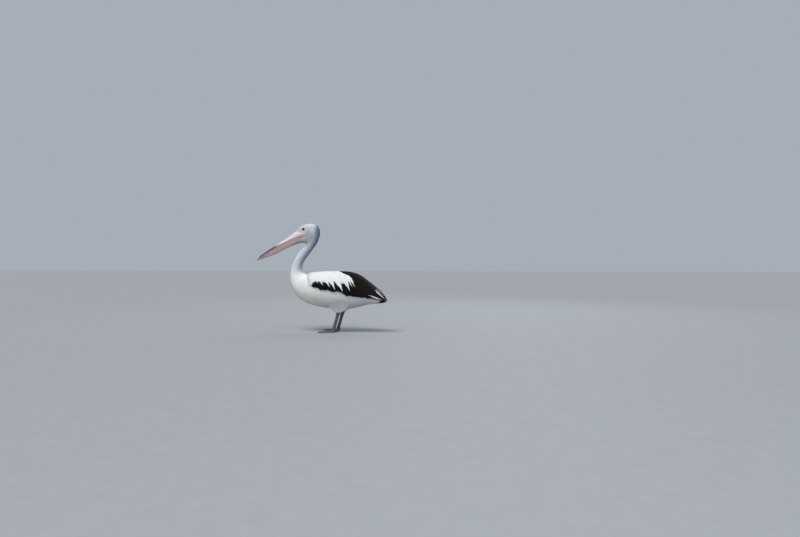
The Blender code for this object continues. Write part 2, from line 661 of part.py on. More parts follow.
def culmen_ridge():
    """The raised ridge along the middle of the upper bill."""
    rows = [
        (row[0], row[1] + CULMEN_HEIGHT, row[0], row[1] - CULMEN_DEPTH, CULMEN_HALF_WIDTH, 0.5, 2.0)
        for row in BILL_RIBS
    ]
    return ribs_loft("culmen", rows, CULMEN_START, CULMEN_END, 9, 6)


def nostril(sign):
    """A cutter for the slit-shaped nostril beside the ridge."""
    bpy.ops.mesh.primitive_uv_sphere_add(segments=8, ring_count=6, radius=1)
    cutter = bpy.context.object
    slope = math.atan2(BILL_RIBS[2][1] - BILL_RIBS[3][1], BILL_RIBS[2][0] - BILL_RIBS[3][0])
    place = Vector((sign * NOSTRIL_PLACE[0], NOSTRIL_PLACE[1], NOSTRIL_PLACE[2]))
    cutter.data.transform(
        Matrix.Translation(place)
        @ Matrix.Rotation(slope, 4, "X")
        @ Matrix.Diagonal((*NOSTRIL_SIZE, 1))
    )
    return as_cutter(cutter)


def eye(name, sign):
    bpy.ops.mesh.primitive_uv_sphere_add(segments=12, ring_count=8, radius=EYE_RADIUS)
    ball = bpy.context.object
    ball.name = name
    place = Vector((sign * EYE_PLACE[0], EYE_PLACE[1], EYE_PLACE[2]))
    ball.data.transform(Matrix.Translation(place) @ eye_turn(sign))
    return ball


def eye_turn(sign):
    outward = Vector((sign * EYE_OUTWARD[0], EYE_OUTWARD[1], EYE_OUTWARD[2]))
    return outward.to_track_quat("Z", "Y").to_matrix().to_4x4()


def lid_ring(sign):
    """The ring of bare skin that the lids make round the eye."""
    bpy.ops.mesh.primitive_torus_add(
        major_segments=16, minor_segments=6, major_radius=LID_RADIUS, minor_radius=LID_THICKNESS
    )
    ring = bpy.context.object
    place = Vector((sign * EYE_PLACE[0], EYE_PLACE[1], EYE_PLACE[2]))
    ring.data.transform(
        Matrix.Translation(place) @ eye_turn(sign) @ Matrix.Translation((0, 0, LID_HEIGHT))
    )
    return ring


def crest_vanes():
    """The short, loose feathers at the back of the crown."""
    pieces = []
    for row, (start, end) in enumerate(CREST_LINES):
        count = CREST_VANES - row
        for k in range(count):
            turn = CREST_SPREAD * (k - (count - 1) / 2)
            middles, outwards = [], []
            for f, lift in CREST_RISE:
                rib = smooth_row(BODY_RIBS, start + (end - start) * f)
                middles.append(rib_point(rib, turn, lift))
                outwards.append(rib_point(rib, turn, lift + GAP) - middles[-1])
            pieces.append(vane(middles, outwards, CREST_WIDTH, CREST_OUTLINE, CREST_THICKNESS))
    return pieces


def round_loft(name, middles, axes, sides):
    """A loft of ovals. Each axis pair gives the oval's half width and half length as vectors."""
    rings = []
    for middle, (across, along_it) in zip(middles, axes):
        rings.append(
            [
                middle
                + across * math.cos(2 * math.pi * i / sides)
                + along_it * math.sin(2 * math.pi * i / sides)
                for i in range(sides)
            ]
        )
    return loft(name, rings)


def leg_piece(name, ribs, sides):
    """A thigh or shank through its ribs, each (y, z, half width across, half length along)."""
    middles = [Vector((LEG_X, y, z)) for y, z, _, _ in ribs]
    axes = [(Vector((across, 0, 0)), Vector((0, length, 0))) for _, _, across, length in ribs]
    return round_loft(name, middles, axes, sides)


def toe_heading(degrees):
    angle = math.radians(degrees - FOOT_TURN)
    return Vector((-math.sin(angle), -math.cos(angle), 0))


def toe_point(toe, fraction, height=0.0):
    _, length, degrees, _ = toe
    return Vector((LEG_X, HEEL_Y, height)) + toe_heading(degrees) * length * fraction


def toe_piece(toe):
    """One toe: an oval tube with three knuckles, its underside below the floor for trimming."""
    name, _, degrees, half_width = toe
    across = toe_heading(degrees).cross(Vector((0, 0, 1)))
    middles, axes = [], []
    for fraction, swell, height in TOE_STATIONS:
        middles.append(toe_point(toe, fraction, half_width * height * TOE_FLOOR))
        axes.append((across * half_width * swell, Vector((0, 0, half_width * height))))
    return round_loft("toe_" + name, middles, axes, TOE_SIDES)


def web_piece(first, second):
    """The web between two toes, with its free edge drawn in."""
    heel = toe_point(first, 0)
    tip_a, tip_b = toe_point(first, WEB_REACH), toe_point(second, WEB_REACH)
    outline = [heel]
    for k in range(WEB_STEPS + 1):
        t = k / WEB_STEPS
        drawn_in = (1 - WEB_SCALLOP) * math.sin(math.pi * t)
        outline.append(heel + (tip_a.lerp(tip_b, t) - heel) * (1 - drawn_in))
    low = [p - Vector((0, 0, WEB_UNDERSIDE)) for p in outline]
    high = [p + Vector((0, 0, WEB_THICKNESS)) for p in outline]
    return loft("web", [low, high])


def foot(name):
    """The heel, toes and webs in one piece, cut flat at the floor."""
    bpy.ops.mesh.primitive_uv_sphere_add(segments=10, ring_count=6, radius=1)
    hub = bpy.context.object
    hub.name = name
    hub.data.transform(
        Matrix.Translation((LEG_X, HEEL_Y, HEEL_Z)) @ Matrix.Diagonal((*HEEL_HALF_SIZES, 1))
    )
    toes = [toe_piece(toe) for toe in TOES]
    webs = [web_piece(a, b) for a, b in zip(TOES, TOES[1:])]
    join_pieces(hub, toes + webs)
    return trimmed(hub, (0, 0, 0), (0, 0, -1))


def claw(name, toe):
    """A small horn cone, bent down from the toe's end."""
    heading = toe_heading(toe[2])
    across = heading.cross(Vector((0, 0, 1)))
    base = toe_point(toe, 1.0)
    middles, axes = [], []
    for fraction, size in CLAW_STATIONS:
        height = CLAW_RISE - CLAW_DROOP * fraction**2
        middles.append(base + heading * CLAW_LENGTH * fraction + Vector((0, 0, height)))
        axes.append((across * CLAW_HALF_WIDTH * size, Vector((0, 0, CLAW_HALF_HEIGHT * size))))
    return round_loft(name, middles, axes, 6)


def bill_parts():
    """Upper bill, nail, jaw and pouch, each cut clear of the one above it."""
    bill = ribs_loft("bill_upper", BILL_RIBS, 0, len(BILL_RIBS) - 1, 18, BILL_SIDES)
    nail = ribs_loft("bill_nail", NAIL_RIBS, 0, len(NAIL_RIBS) - 1, 6, 10, (GAP, 0))
    jaw = ribs_loft("bill_lower", JAW_RIBS, 0, len(JAW_RIBS) - 1, 12, 12)
    pouch = ribs_loft("pouch", POUCH_RIBS, 0, len(POUCH_RIBS) - 1, 14, 14)
    join_pieces(bill, [culmen_ridge()])
    for _, sign in SIDES:
        cut_away(bill, nostril(sign))
    cut_clear(jaw, [bill])
    cut_clear(pouch, [jaw, bill])
    cut_clear(nail, [jaw])
    return [bill, nail, jaw, pouch]


def head_and_neck(beak):
    """The head, cut for the bill and the eyes, and the neck in three lengths."""
    eyes = [eye("eye_" + name, sign) for name, sign in SIDES]
    head = ribs_loft("head", BODY_RIBS, 0, HEAD_END, 20, HEAD_SIDES, (0, GAP))
    join_pieces(head, [lid_ring(sign) for _, sign in SIDES] + crest_vanes())
    cut_clear(head, beak + eyes)
    neck = [
        ribs_loft(name, BODY_RIBS, start, end, 5, NECK_SIDES, (0, GAP))
        for name, start, end in (
            ("neck_upper", HEAD_END, NECK_UPPER_END),
            ("neck_middle", NECK_UPPER_END, NECK_MIDDLE_END),
            ("neck_lower", NECK_MIDDLE_END, NECK_LOWER_END),
        )
    ]
    return eyes + [head] + neck


def left_leg(torso):
    """Thigh, bare shank, webbed foot and claws of the left leg."""
    upper = leg_piece("thigh_left", THIGH_RIBS, 14)
    cut_clear(upper, [torso])
    webbed = foot("foot_left")
    lower = leg_piece("shank_left", SHANK_RIBS, 10)
    cut_clear(lower, [webbed, upper])
    claws = [claw("claw_left_" + toe[0], toe) for toe in TOES]
    for horn in claws:
        cut_clear(horn, [webbed])
    return [upper, webbed, lower] + claws


def main():
    clear_scene()
    bill, nail, jaw, pouch = bill_parts()
    parts = [bill, nail, jaw, pouch] + head_and_neck([bill, jaw, pouch])
    torso = ribs_loft("torso", BODY_RIBS, NECK_LOWER_END, BODY_END, 20, TORSO_SIDES, (0, GAP))
    tail = ribs_loft("tail", TAIL_BASE_RIBS, 0, len(TAIL_BASE_RIBS) - 1, 4, 16)
    join_pieces(tail, tail_vanes())
    wing = loft("wing_left", wing_core())
    join_pieces(wing, wing_vanes())
    cut_away(wing, right_half())
    cut_clear(wing, [torso, tail], BODY_GAP)
    on_the_left = [wing] + left_leg(torso)
    parts += [torso, tail] + on_the_left
    parts += [mirrored(part, part.name.replace("left", "right")) for part in on_the_left]

    base = bpy.data.objects.new("pelican_base", None)
    put_in(base, PARTS)
    for part in parts:
        finish(part, base)


main()
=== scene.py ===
"""A life-size standing pelican with folded wings, dressed over its solids.

Metres, +Z up. The bird faces -Y and its left side is +X, and the floor is Z = 0. Every coat feather is
a small closed vane whose root sits in the skin. A point of the body, a wing or a thigh is given by how
far along it lies, how far round it is turned and how far it is lifted off the outer form.
"""

import math

import bpy
import numpy as np
from mathutils import Matrix, Vector
from mathutils.bvhtree import BVHTree
from mathutils.kdtree import KDTree


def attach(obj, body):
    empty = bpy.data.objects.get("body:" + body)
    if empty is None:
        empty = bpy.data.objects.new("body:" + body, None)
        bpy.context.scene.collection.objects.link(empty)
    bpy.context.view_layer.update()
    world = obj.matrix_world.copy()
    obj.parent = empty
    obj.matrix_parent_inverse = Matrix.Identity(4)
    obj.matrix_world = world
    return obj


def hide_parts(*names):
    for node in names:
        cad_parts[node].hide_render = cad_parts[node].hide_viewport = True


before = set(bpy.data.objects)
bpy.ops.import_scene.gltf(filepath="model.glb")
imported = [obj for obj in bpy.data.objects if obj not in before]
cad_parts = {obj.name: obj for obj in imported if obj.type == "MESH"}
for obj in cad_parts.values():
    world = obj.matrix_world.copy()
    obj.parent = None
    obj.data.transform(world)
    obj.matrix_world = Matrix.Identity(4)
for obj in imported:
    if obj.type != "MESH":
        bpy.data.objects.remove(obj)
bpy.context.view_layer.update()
SIDES = (("left", 1), ("right", -1))

# Driving sizes, the same as the solids have. A rib is one oval section of the body: its point on the
# back (y, z), its point on the throat or belly (y, z), its half width, the height of its widest part
# as a share of the way up, and its squareness, where 2 is an ellipse. The last two lie past the body's
# end, for the coverts that reach over the tail.
BODY_RIBS = (
    (-0.183, 0.768, -0.172, 0.737, 0.0150, 0.60, 2.50),
    (-0.160, 0.790, -0.150, 0.716, 0.0240, 0.62, 2.80),
    (-0.131, 0.807, -0.132, 0.700, 0.0285, 0.63, 3.00),
    (-0.101, 0.817, -0.119, 0.687, 0.0310, 0.62, 2.90),
    (-0.070, 0.820, -0.111, 0.676, 0.0325, 0.60, 2.70),
    (-0.041, 0.815, -0.108, 0.668, 0.0330, 0.58, 2.50),
    (-0.018, 0.801, -0.107, 0.663, 0.0325, 0.55, 2.30),
    (-0.004, 0.773, -0.108, 0.659, 0.0310, 0.52, 2.20),
    (-0.001, 0.740, -0.110, 0.655, 0.0300, 0.50, 2.10),
    (-0.009, 0.706, -0.114, 0.651, 0.0290, 0.50, 2.05),
    (-0.024, 0.673, -0.121, 0.645, 0.0285, 0.50, 2.05),
    (-0.045, 0.640, -0.131, 0.638, 0.0280, 0.50, 2.05),
    (-0.069, 0.608, -0.146, 0.625, 0.0275, 0.50, 2.05),
    (-0.094, 0.577, -0.167, 0.601, 0.0280, 0.50, 2.05),
    (-0.117, 0.547, -0.190, 0.567, 0.0290, 0.50, 2.05),
    (-0.134, 0.515, -0.211, 0.529, 0.0310, 0.50, 2.15),
    (-0.141, 0.485, -0.226, 0.488, 0.0350, 0.50, 2.15),
    (-0.138, 0.462, -0.233, 0.444, 0.0430, 0.50, 2.15),
    (-0.128, 0.447, -0.232, 0.399, 0.0560, 0.50, 2.25),
    (-0.113, 0.440, -0.221, 0.351, 0.0710, 0.50, 2.25),
    (-0.092, 0.439, -0.199, 0.304, 0.0850, 0.50, 2.25),
    (-0.064, 0.441, -0.165, 0.261, 0.0970, 0.50, 2.25),
    (-0.027, 0.444, -0.114, 0.224, 0.1060, 0.50, 2.25),
    (0.020, 0.446, -0.045, 0.199, 0.1110, 0.50, 2.25),
    (0.075, 0.447, 0.035, 0.184, 0.1130, 0.50, 2.25),
    (0.135, 0.446, 0.110, 0.175, 0.1120, 0.50, 2.25),
    (0.200, 0.441, 0.185, 0.172, 0.1070, 0.50, 2.25),
    (0.262, 0.424, 0.250, 0.178, 0.0960, 0.50, 2.25),
    (0.320, 0.391, 0.312, 0.192, 0.0800, 0.50, 2.25),
    (0.370, 0.350, 0.370, 0.206, 0.0620, 0.50, 2.25),
    (0.405, 0.316, 0.412, 0.214, 0.0470, 0.50, 2.25),
    (0.430, 0.290, 0.437, 0.214, 0.0400, 0.50, 2.25),
    (0.455, 0.258, 0.461, 0.216, 0.0330, 0.50, 2.25),
    (0.476, 0.2500, 0.482, 0.2190, 0.0300, 0.50, 2.25),
    (0.496, 0.2430, 0.501, 0.2220, 0.0270, 0.50, 2.25),
)
BODY_END = len(BODY_RIBS) - 3
# Upper bill, nail, jaw and pouch, in rows of the same kind.
BILL_RIBS = (
    (-0.112, 0.760, -0.104, 0.7345, 0.0305, 0.36, 2.4),
    (-0.142, 0.766, -0.134, 0.7265, 0.0290, 0.28, 2.3),
    (-0.182, 0.765, -0.165, 0.7150, 0.0262, 0.20, 2.2),
    (-0.224, 0.735, -0.208, 0.6995, 0.0232, 0.20, 2.2),
    (-0.279, 0.699, -0.268, 0.6775, 0.0208, 0.20, 2.2),
    (-0.340, 0.663, -0.332, 0.6465, 0.0195, 0.20, 2.2),
    (-0.401, 0.626, -0.394, 0.6135, 0.0195, 0.20, 2.2),
    (-0.455, 0.592, -0.450, 0.5805, 0.0205, 0.20, 2.2),
    (-0.489, 0.570, -0.484, 0.5590, 0.0190, 0.20, 2.2),
    (-0.505, 0.560, -0.501, 0.5490, 0.0140, 0.20, 2.2),
)
NAIL_RIBS = (
    (-0.502, 0.5620, -0.498, 0.5510, 0.0128, 0.40, 2.0),
    (-0.514, 0.5525, -0.508, 0.5430, 0.0090, 0.40, 2.0),
    (-0.5215, 0.5435, -0.5145, 0.5375, 0.0060, 0.40, 2.0),
    (-0.5250, 0.5335, -0.5205, 0.5310, 0.0025, 0.40, 2.0),
)
JAW_RIBS = (
    (-0.104, 0.7375, -0.102, 0.7270, 0.0300, 0.50, 3.0),
    (-0.134, 0.7305, -0.132, 0.7190, 0.0288, 0.50, 3.0),
    (-0.165, 0.7190, -0.162, 0.7075, 0.0258, 0.50, 3.0),
    (-0.208, 0.7030, -0.205, 0.6920, 0.0224, 0.50, 3.0),
    (-0.268, 0.6800, -0.265, 0.6700, 0.0198, 0.50, 3.0),
    (-0.332, 0.6485, -0.329, 0.6390, 0.0182, 0.50, 3.0),
    (-0.394, 0.6150, -0.391, 0.6065, 0.0178, 0.50, 3.0),
    (-0.450, 0.5820, -0.448, 0.5740, 0.0180, 0.50, 3.0),
    (-0.484, 0.5605, -0.482, 0.5532, 0.0150, 0.50, 3.0),
    (-0.500, 0.5490, -0.498, 0.5440, 0.0100, 0.50, 3.0),
)
POUCH_RIBS = (
    (-0.0955, 0.7205, -0.1030, 0.6630, 0.0315, 0.80, 2.4),
    (-0.128, 0.7172, -0.1280, 0.6745, 0.0300, 0.82, 2.4),
    (-0.163, 0.7067, -0.1680, 0.6710, 0.0262, 0.84, 2.3),
    (-0.206, 0.6912, -0.2180, 0.6525, 0.0222, 0.86, 2.2),
    (-0.266, 0.6692, -0.2780, 0.6270, 0.0190, 0.86, 2.2),
    (-0.330, 0.6382, -0.3400, 0.5960, 0.0168, 0.86, 2.2),
    (-0.392, 0.6057, -0.4010, 0.5715, 0.0158, 0.86, 2.2),
    (-0.448, 0.5732, -0.4520, 0.5560, 0.0132, 0.86, 2.2),
    (-0.478, 0.5550, -0.4800, 0.5470, 0.0080, 0.86, 2.2),
)
# Outer form of the two folded wings: y, top z, low z, half width.
WING_FORM = (
    (-0.105, 0.441, 0.217, 0.1040),
    (-0.070, 0.448, 0.205, 0.1150),
    (-0.030, 0.453, 0.195, 0.1220),
    (0.030, 0.4575, 0.185, 0.1265),
    (0.100, 0.4595, 0.176, 0.1280),
    (0.160, 0.4595, 0.172, 0.1260),
    (0.220, 0.4575, 0.174, 0.1200),
    (0.270, 0.4475, 0.182, 0.1100),
    (0.320, 0.4270, 0.192, 0.0975),
    (0.370, 0.3920, 0.206, 0.0840),
    (0.420, 0.3540, 0.214, 0.0710),
    (0.470, 0.3120, 0.221, 0.0570),
    (0.505, 0.2750, 0.226, 0.0470),
    (0.530, 0.2520, 0.228, 0.0400),
)
WING_SQUARENESS = 2.3
# Degrees round from the middle of the back to the wing's lower and top edges, at each y.
WING_LOWER_EDGE = (
    (-0.020, 81), (0.033, 87), (0.105, 90.5), (0.173, 91), (0.222, 95), (0.242, 101), (0.300, 106),
    (0.374, 109), (0.439, 117), (0.515, 124),
)
WING_TOP_EDGE = ((-0.090, 12), (0.050, 7), (0.200, 4), (0.515, 4))
WING_FRONT = ((0, -0.098), (0.5, -0.074), (1, -0.046))
WING_REAR = 0.425
WING_COVER, WING_TUCK = 0.0055, 0.0045
CORE_INSET = math.radians(3)
# The line on which the close white feathers of the wing end, from its front round to the back, as
# (y, degrees), and the tips and widths of the long white ones that hang over the black behind it.
WHITE_EDGE = (
    (-0.024, 95), (-0.022, 74), (0.000, 66), (0.040, 68), (0.090, 70), (0.140, 66), (0.190, 70),
    (0.215, 73), (0.250, 66), (0.272, 56), (0.275, 49), (0.247, 42), (0.223, 36), (0.197, 26),
    (0.174, 14), (0.160, 4),
)
LANCE_TIPS = (
    (0.000, 70, 0.010), (0.024, 73, 0.013), (0.062, 77.5, 0.018), (0.112, 82.5, 0.020),
    (0.153, 88.5, 0.022), (0.211, 91.7, 0.024), (0.238, 80, 0.008), (0.265, 90.5, 0.021),
    (0.282, 80.7, 0.010), (0.300, 78, 0.010), (0.290, 63, 0.012), (0.275, 51, 0.014),
    (0.240, 40, 0.014), (0.210, 31, 0.014),
)
# Tips of the white feathers that show between the black ones at the rear.
REAR_LANCE_TIPS = (
    (0.462, 99), (0.476, 103), (0.486, 99), (0.490, 107), (0.502, 103), (0.504, 110), (0.500, 60),
    (0.511, 66), (0.518, 73), (0.516, 44),
)
# Middle of each leg across the bird, and of its thigh along it.
LEG_X, THIGH_Y = 0.066, 0.166
# Feathered thigh and bare shank: y, z, half width, half length.
THIGH_RIBS = (
    (0.165, 0.250, 0.022, 0.078),
    (0.166, 0.222, 0.025, 0.080),
    (0.167, 0.200, 0.0255, 0.076),
    (0.167, 0.184, 0.0240, 0.066),
    (0.166, 0.172, 0.0210, 0.052),
    (0.165, 0.162, 0.0175, 0.038),
    (0.1645, 0.154, 0.0145, 0.0260),
    (0.1645, 0.150, 0.0120, 0.0190),
)
SHANK_RIBS = (
    (0.1642, 0.1537, 0.0114, 0.0165),
    (0.1630, 0.1450, 0.0114, 0.0165),
    (0.1590, 0.1330, 0.0092, 0.0140),
    (0.1530, 0.1130, 0.0080, 0.0128),
    (0.1420, 0.0750, 0.0078, 0.0124),
    (0.1320, 0.0420, 0.0081, 0.0128),
    (0.1270, 0.0240, 0.0093, 0.0138),
    (0.1255, 0.0120, 0.0098, 0.0142),
)
HEEL = (0.125, 0.0085)
HEEL_HALF_SIZES = (0.0122, 0.0160, 0.0120)
FOOT_TURN = 8
TOES = (  # length, degrees in from straight ahead, half width
    (0.050, 122, 0.0048),
    (0.088, 32, 0.0056),
    (0.112, 4, 0.0060),
    (0.106, -22, 0.0054),
)
EYE_RADIUS = 0.0105
EYE_PLACE = (0.0216, -0.122, 0.7765)
EYE_OUTWARD = (0.96, -0.18, 0.20)
SOCKET_DEPTH, SOCKET_RADIUS = 0.0026, 0.0125
NOSTRIL_Y, NOSTRIL_TURN = -0.186, 0.62
TAIL_FEATHERS = 22
TAIL_ROOT_Y, TAIL_ROOT_Z, TAIL_ROOT_HALF_WIDTH = 0.425, 0.238, 0.020
TAIL_TIP_Y, TAIL_TIP_Z = 0.5245, 0.2345
TAIL_SPREAD = math.radians(15)

# Depth of the feathers over the skin, by place along the body, and over a thigh.
COAT_PLACES = (0, 3, 8, 12, 17, 22, 30)
COAT_DEPTHS = (0.0007, 0.0011, 0.0016, 0.0020, 0.0027, 0.0034, 0.0032)
THIGH_COAT_DEPTH = 0.0035
# Short steps along and round a surface, from which its slope is read.
STEP_ALONG, STEP_ROUND = 0.01, 0.02
# How far the unwrap of the skin goes to either side of its middle.
UNWRAP_WIDTH = 0.45
# How far the bill slopes down.
BILL_SLOPE = math.radians(31)

# Camera: the photo's frame of 800 by 537 pixels.
CAMERA_PLACE = (4.47635, 1.40256, 0.52817)
CAMERA_HEADING = (-0.98506, -0.17223)
CAMERA_DROP = math.radians(0.6105)
CAMERA_LENS, CAMERA_SENSOR = 27.45, 36.0


def rows_at(rows, place):
    """Rows of a table at places counted in rows, on a smooth curve through them all."""
    table = np.array(rows, float)
    place = np.clip(np.asarray(place, float), 0, len(table) - 1)
    i = np.minimum(place.astype(int), len(table) - 2)
    t = (place - i)[..., None]
    before = table[np.maximum(i - 1, 0)]
    a = table[i]
    b = table[i + 1]
    after = table[np.minimum(i + 2, len(table) - 1)]
    return 0.5 * (
        2 * a
        + (b - before) * t
        + (2 * before - 5 * a + 4 * b - after) * t**2
        + (3 * a - before - 3 * b + after) * t**3
    )


def ribbed(rows):
    """A surface through a table's ribs. Turn 0 is the back, a quarter turn its left side."""

    def point(place, turn, lift):
        place, turn, lift = np.broadcast_arrays(place, turn, lift)
        row = rows_at(rows, place)
        back, belly = row[..., 0:2], row[..., 2:4]
        middle = belly + (back - belly) * row[..., 5:6]
        sine, cosine = np.sin(turn), np.cos(turn)
        round_off = (np.abs(sine) ** row[..., 6] + np.abs(cosine) ** row[..., 6]) ** (1 / row[..., 6])
        arm = np.where(cosine[..., None] > 0, back - middle, middle - belly)
        arm = arm * (1 + lift / np.linalg.norm(arm, axis=-1))[..., None]
        flat = middle + arm * (cosine / round_off)[..., None]
        across = (row[..., 4] + lift) * sine / round_off
        return np.stack([across, flat[..., 0], flat[..., 1]], -1)

    return point


body_point = ribbed(BODY_RIBS)


def signed_power(value, power):
    """A power of a number's size, with the number's sign."""
    return np.sign(value) * np.abs(value) ** power


def wing_rows(y):
    """Top, lower end and half width of the wings' outer form at a y."""
    place = np.interp(y, [row[0] for row in WING_FORM], np.arange(len(WING_FORM)))
    row = rows_at(WING_FORM, place)
    return row[..., 1], row[..., 2], row[..., 3]


def wing_point(y, turn, lift):
    """A point of the folded wings' outer form at a y. Turn is positive on the left side."""
    y, turn, lift = np.broadcast_arrays(y, turn, lift)
    top, low, half_width = wing_rows(y)
    across = (half_width + lift) * signed_power(np.sin(turn), 2 / WING_SQUARENESS)
    rise = ((top - low) / 2 + lift) * signed_power(np.cos(turn), 2 / WING_SQUARENESS)
    return np.stack([across, y, (top + low) / 2 + rise], -1)


def leg_surface(rows, sign):
    """The surface of a thigh or shank. Turn 0 is its rear."""

    def point(place, turn, lift):
        place, turn, lift = np.broadcast_arrays(place, turn, lift)
        row = rows_at(rows, place)
        x = sign * LEG_X + (row[..., 2] + lift) * np.sin(turn)
        y = row[..., 0] + (row[..., 3] + lift) * np.cos(turn)
        return np.stack([x, y, row[..., 1]], -1)

    return point


def along(pairs, value):
    """The second number of a table of pairs, where the first is the value given."""
    return np.interp(value, [p[0] for p in pairs], [p[1] for p in pairs])


def share(value, start, length):
    """0 before a start, 1 past a length beyond it, and even in between."""
    return np.clip((value - start) / length, 0, 1)


def bell(value, middle, width):
    """A smooth hump of height 1."""
    return np.exp(-(((value - middle) / width) ** 2))


def wing_edges(y):
    """How far round, in radians, the wing's top and lower edges lie at a y."""
    return np.radians(along(WING_TOP_EDGE, y)), np.radians(along(WING_LOWER_EDGE, y))


def wing_front(degrees):
    """y of the folded wing's front at each turn."""
    return along(WING_FRONT, share(degrees, 12, 76))


def core_lift(y, turn):
    """Depth of the wing's core under the outer form, as a lift."""
    top, low = wing_edges(y)
    return -WING_COVER - WING_TUCK * share(np.abs(turn), top, low - top) ** 2


def coat_depth(place):
    """Depth of the feathers over the skin, thin on the face and thick on the breast."""
    return np.interp(place, COAT_PLACES, COAT_DEPTHS)


def slopes(surface, a, b):
    """How a surface runs along each of its coordinates, over a short step to either side."""
    over_a = surface(a + STEP_ALONG, b, 0.0) - surface(a - STEP_ALONG, b, 0.0)
    over_b = surface(a, b + STEP_ROUND, 0.0) - surface(a, b - STEP_ROUND, 0.0)
    return over_a, over_b


def pace(surface, a, b):
    """How far one unit of each coordinate goes over a surface."""
    over_a, over_b = slopes(surface, a, b)
    length_a = np.linalg.norm(over_a, axis=-1) / (2 * STEP_ALONG)
    length_b = np.linalg.norm(over_b, axis=-1) / (2 * STEP_ROUND)
    return np.maximum(length_a, 1e-6), np.maximum(length_b, 1e-6)


def unit(vectors):
    """Vectors of length 1, and 0 where there is no direction."""
    return vectors / (np.linalg.norm(vectors, axis=-1, keepdims=True) + 1e-12)


def outward(surface, a, b):
    """Unit directions straight out of a surface."""
    straight = np.cross(*slopes(surface, a, b))
    lifted = surface(a, b, 0.002) - surface(a, b, 0.0)
    return unit(straight * np.sign((straight * lifted).sum(-1, keepdims=True)))


def ring_grid(last, rows, count):
    """Places from 0 to the last as a column, and turns all the way round as a row."""
    return np.linspace(0, last, rows)[:, None], np.linspace(-np.pi, np.pi, count, endpoint=False)[None, :]


def linked(name, data):
    """A new object in the scene."""
    thing = bpy.data.objects.new(name, data)
    bpy.context.scene.collection.objects.link(thing)
    return thing


def grid_mesh(name, points, material, caps=True):
    """A mesh through rows of points, each row a ring."""
    rows, count = points.shape[:2]
    index = np.arange(rows * count).reshape(rows, count)
    turned = np.roll(index, -1, axis=1)
    faces = np.stack([index[:-1], turned[:-1], turned[1:], index[1:]], -1).reshape(-1, 4).tolist()
    if caps:
        faces += [index[0, ::-1].tolist(), index[-1].tolist()]
    mesh = bpy.data.meshes.new(name)
    mesh.from_pydata(points.reshape(-1, 3).tolist(), [], faces)
    mesh.shade_smooth()
    mesh.materials.append(material)
    return linked(name, mesh)


def set_values(mesh, name, values, kind="FLOAT", domain="POINT"):
    """Gives each point or corner of a mesh a value or a vector under a name."""
    layer = mesh.attributes.new(name, kind, domain)
    layer.data.foreach_set("value" if kind == "FLOAT" else "vector", np.ravel(values).astype(np.float32))


def read_points(mesh):
    """All points of a mesh, one to a row."""
    points = np.empty(len(mesh.vertices) * 3, np.float32)
    mesh.vertices.foreach_get("co", points)
    return points.reshape(-1, 3)


def move_points(mesh, points):
    """Puts the points of a mesh in new places."""
    mesh.vertices.foreach_set("co", points.astype(np.float32).ravel())
    mesh.update()


def show(thing, slot, *nodes):
    """Hangs a piece on the bird and hides the solids it stands for. The slot is not used."""
    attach(thing, "root")
    if nodes:
        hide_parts(*nodes)


# Forms of feather: stations along the vane, and its half width there as a share of the whole.
TINY = ((0, 0.5, 0.84, 1), (0.55, 1, 0.80, 0.22))
CONTOUR = ((0, 0.35, 0.66, 0.87, 1), (0.45, 0.95, 1, 0.64, 0.08))
COVERT = ((0, 0.30, 0.62, 0.86, 1), (0.60, 1, 0.88, 0.48, 0.06))
LANCE = ((0, 0.25, 0.50, 0.72, 0.88, 1), (0.70, 1, 0.84, 0.54, 0.27, 0.03))
FLIGHT = (
    (0, 0.15, 0.35, 0.55, 0.72, 0.84, 0.92, 0.97, 1),
    (0.55, 0.80, 0.95, 1, 1, 0.93, 0.78, 0.52, 0.18),
)
SCAPULAR = ((0, 0.20, 0.45, 0.68, 0.84, 0.94, 1), (0.60, 0.90, 1, 0.92, 0.68, 0.38, 0.06))
# Cross sections: points across a vane as shares of its half width and of its shaft's height.
LIGHT = ((-1, 0), (0, 1), (1, 0))
FULL = ((-1, 0), (-0.55, 0.45), (-0.08, 0.7), (0, 1), (0.08, 0.7), (0.55, 0.45), (1, 0), (0, -0.5))
# How far a soft vane's shading leans aside at its edges, beside 1 straight out of the form.
VANE_ROUNDING = 0.28
# How much lower a vane's shaft stands at its tip, as a share of its height at the root.
TIP_THINNING = 0.6
# Half the size of a feather's patch on the unwrap of the skin.
BAKE_PATCH = 0.0015
# Steps that spread places evenly over a square, along and across it.
EVEN_STEPS = (0.7548776662, 0.5698402910)


class Feathers:
    """Places and sizes of many feathers, one value to each: start and end on the surface in its own
    coordinates, half width, lift at root and tip, height of the shaft, tilt of one edge and bend."""

    def __init__(self, chance, a, b, end_a, end_b, width, root_lift, tip_lift, shaft, tilt=0.0, bend=0.0):
        count = len(a)
        fields = np.broadcast_arrays(a, b, end_a, end_b, width, root_lift, tip_lift, shaft, tilt, bend)
        fields = [np.array(field, float) for field in fields]
        self.a, self.b, self.end_a, self.end_b, self.width = fields[:5]
        self.root_lift, self.tip_lift, self.shaft, self.tilt, self.bend = fields[5:]
        self.luck = chance.random(count)

    def keep(self, wanted):
        """Leaves only the feathers wanted."""
        for name, values in vars(self).items():
            setattr(self, name, values[wanted])


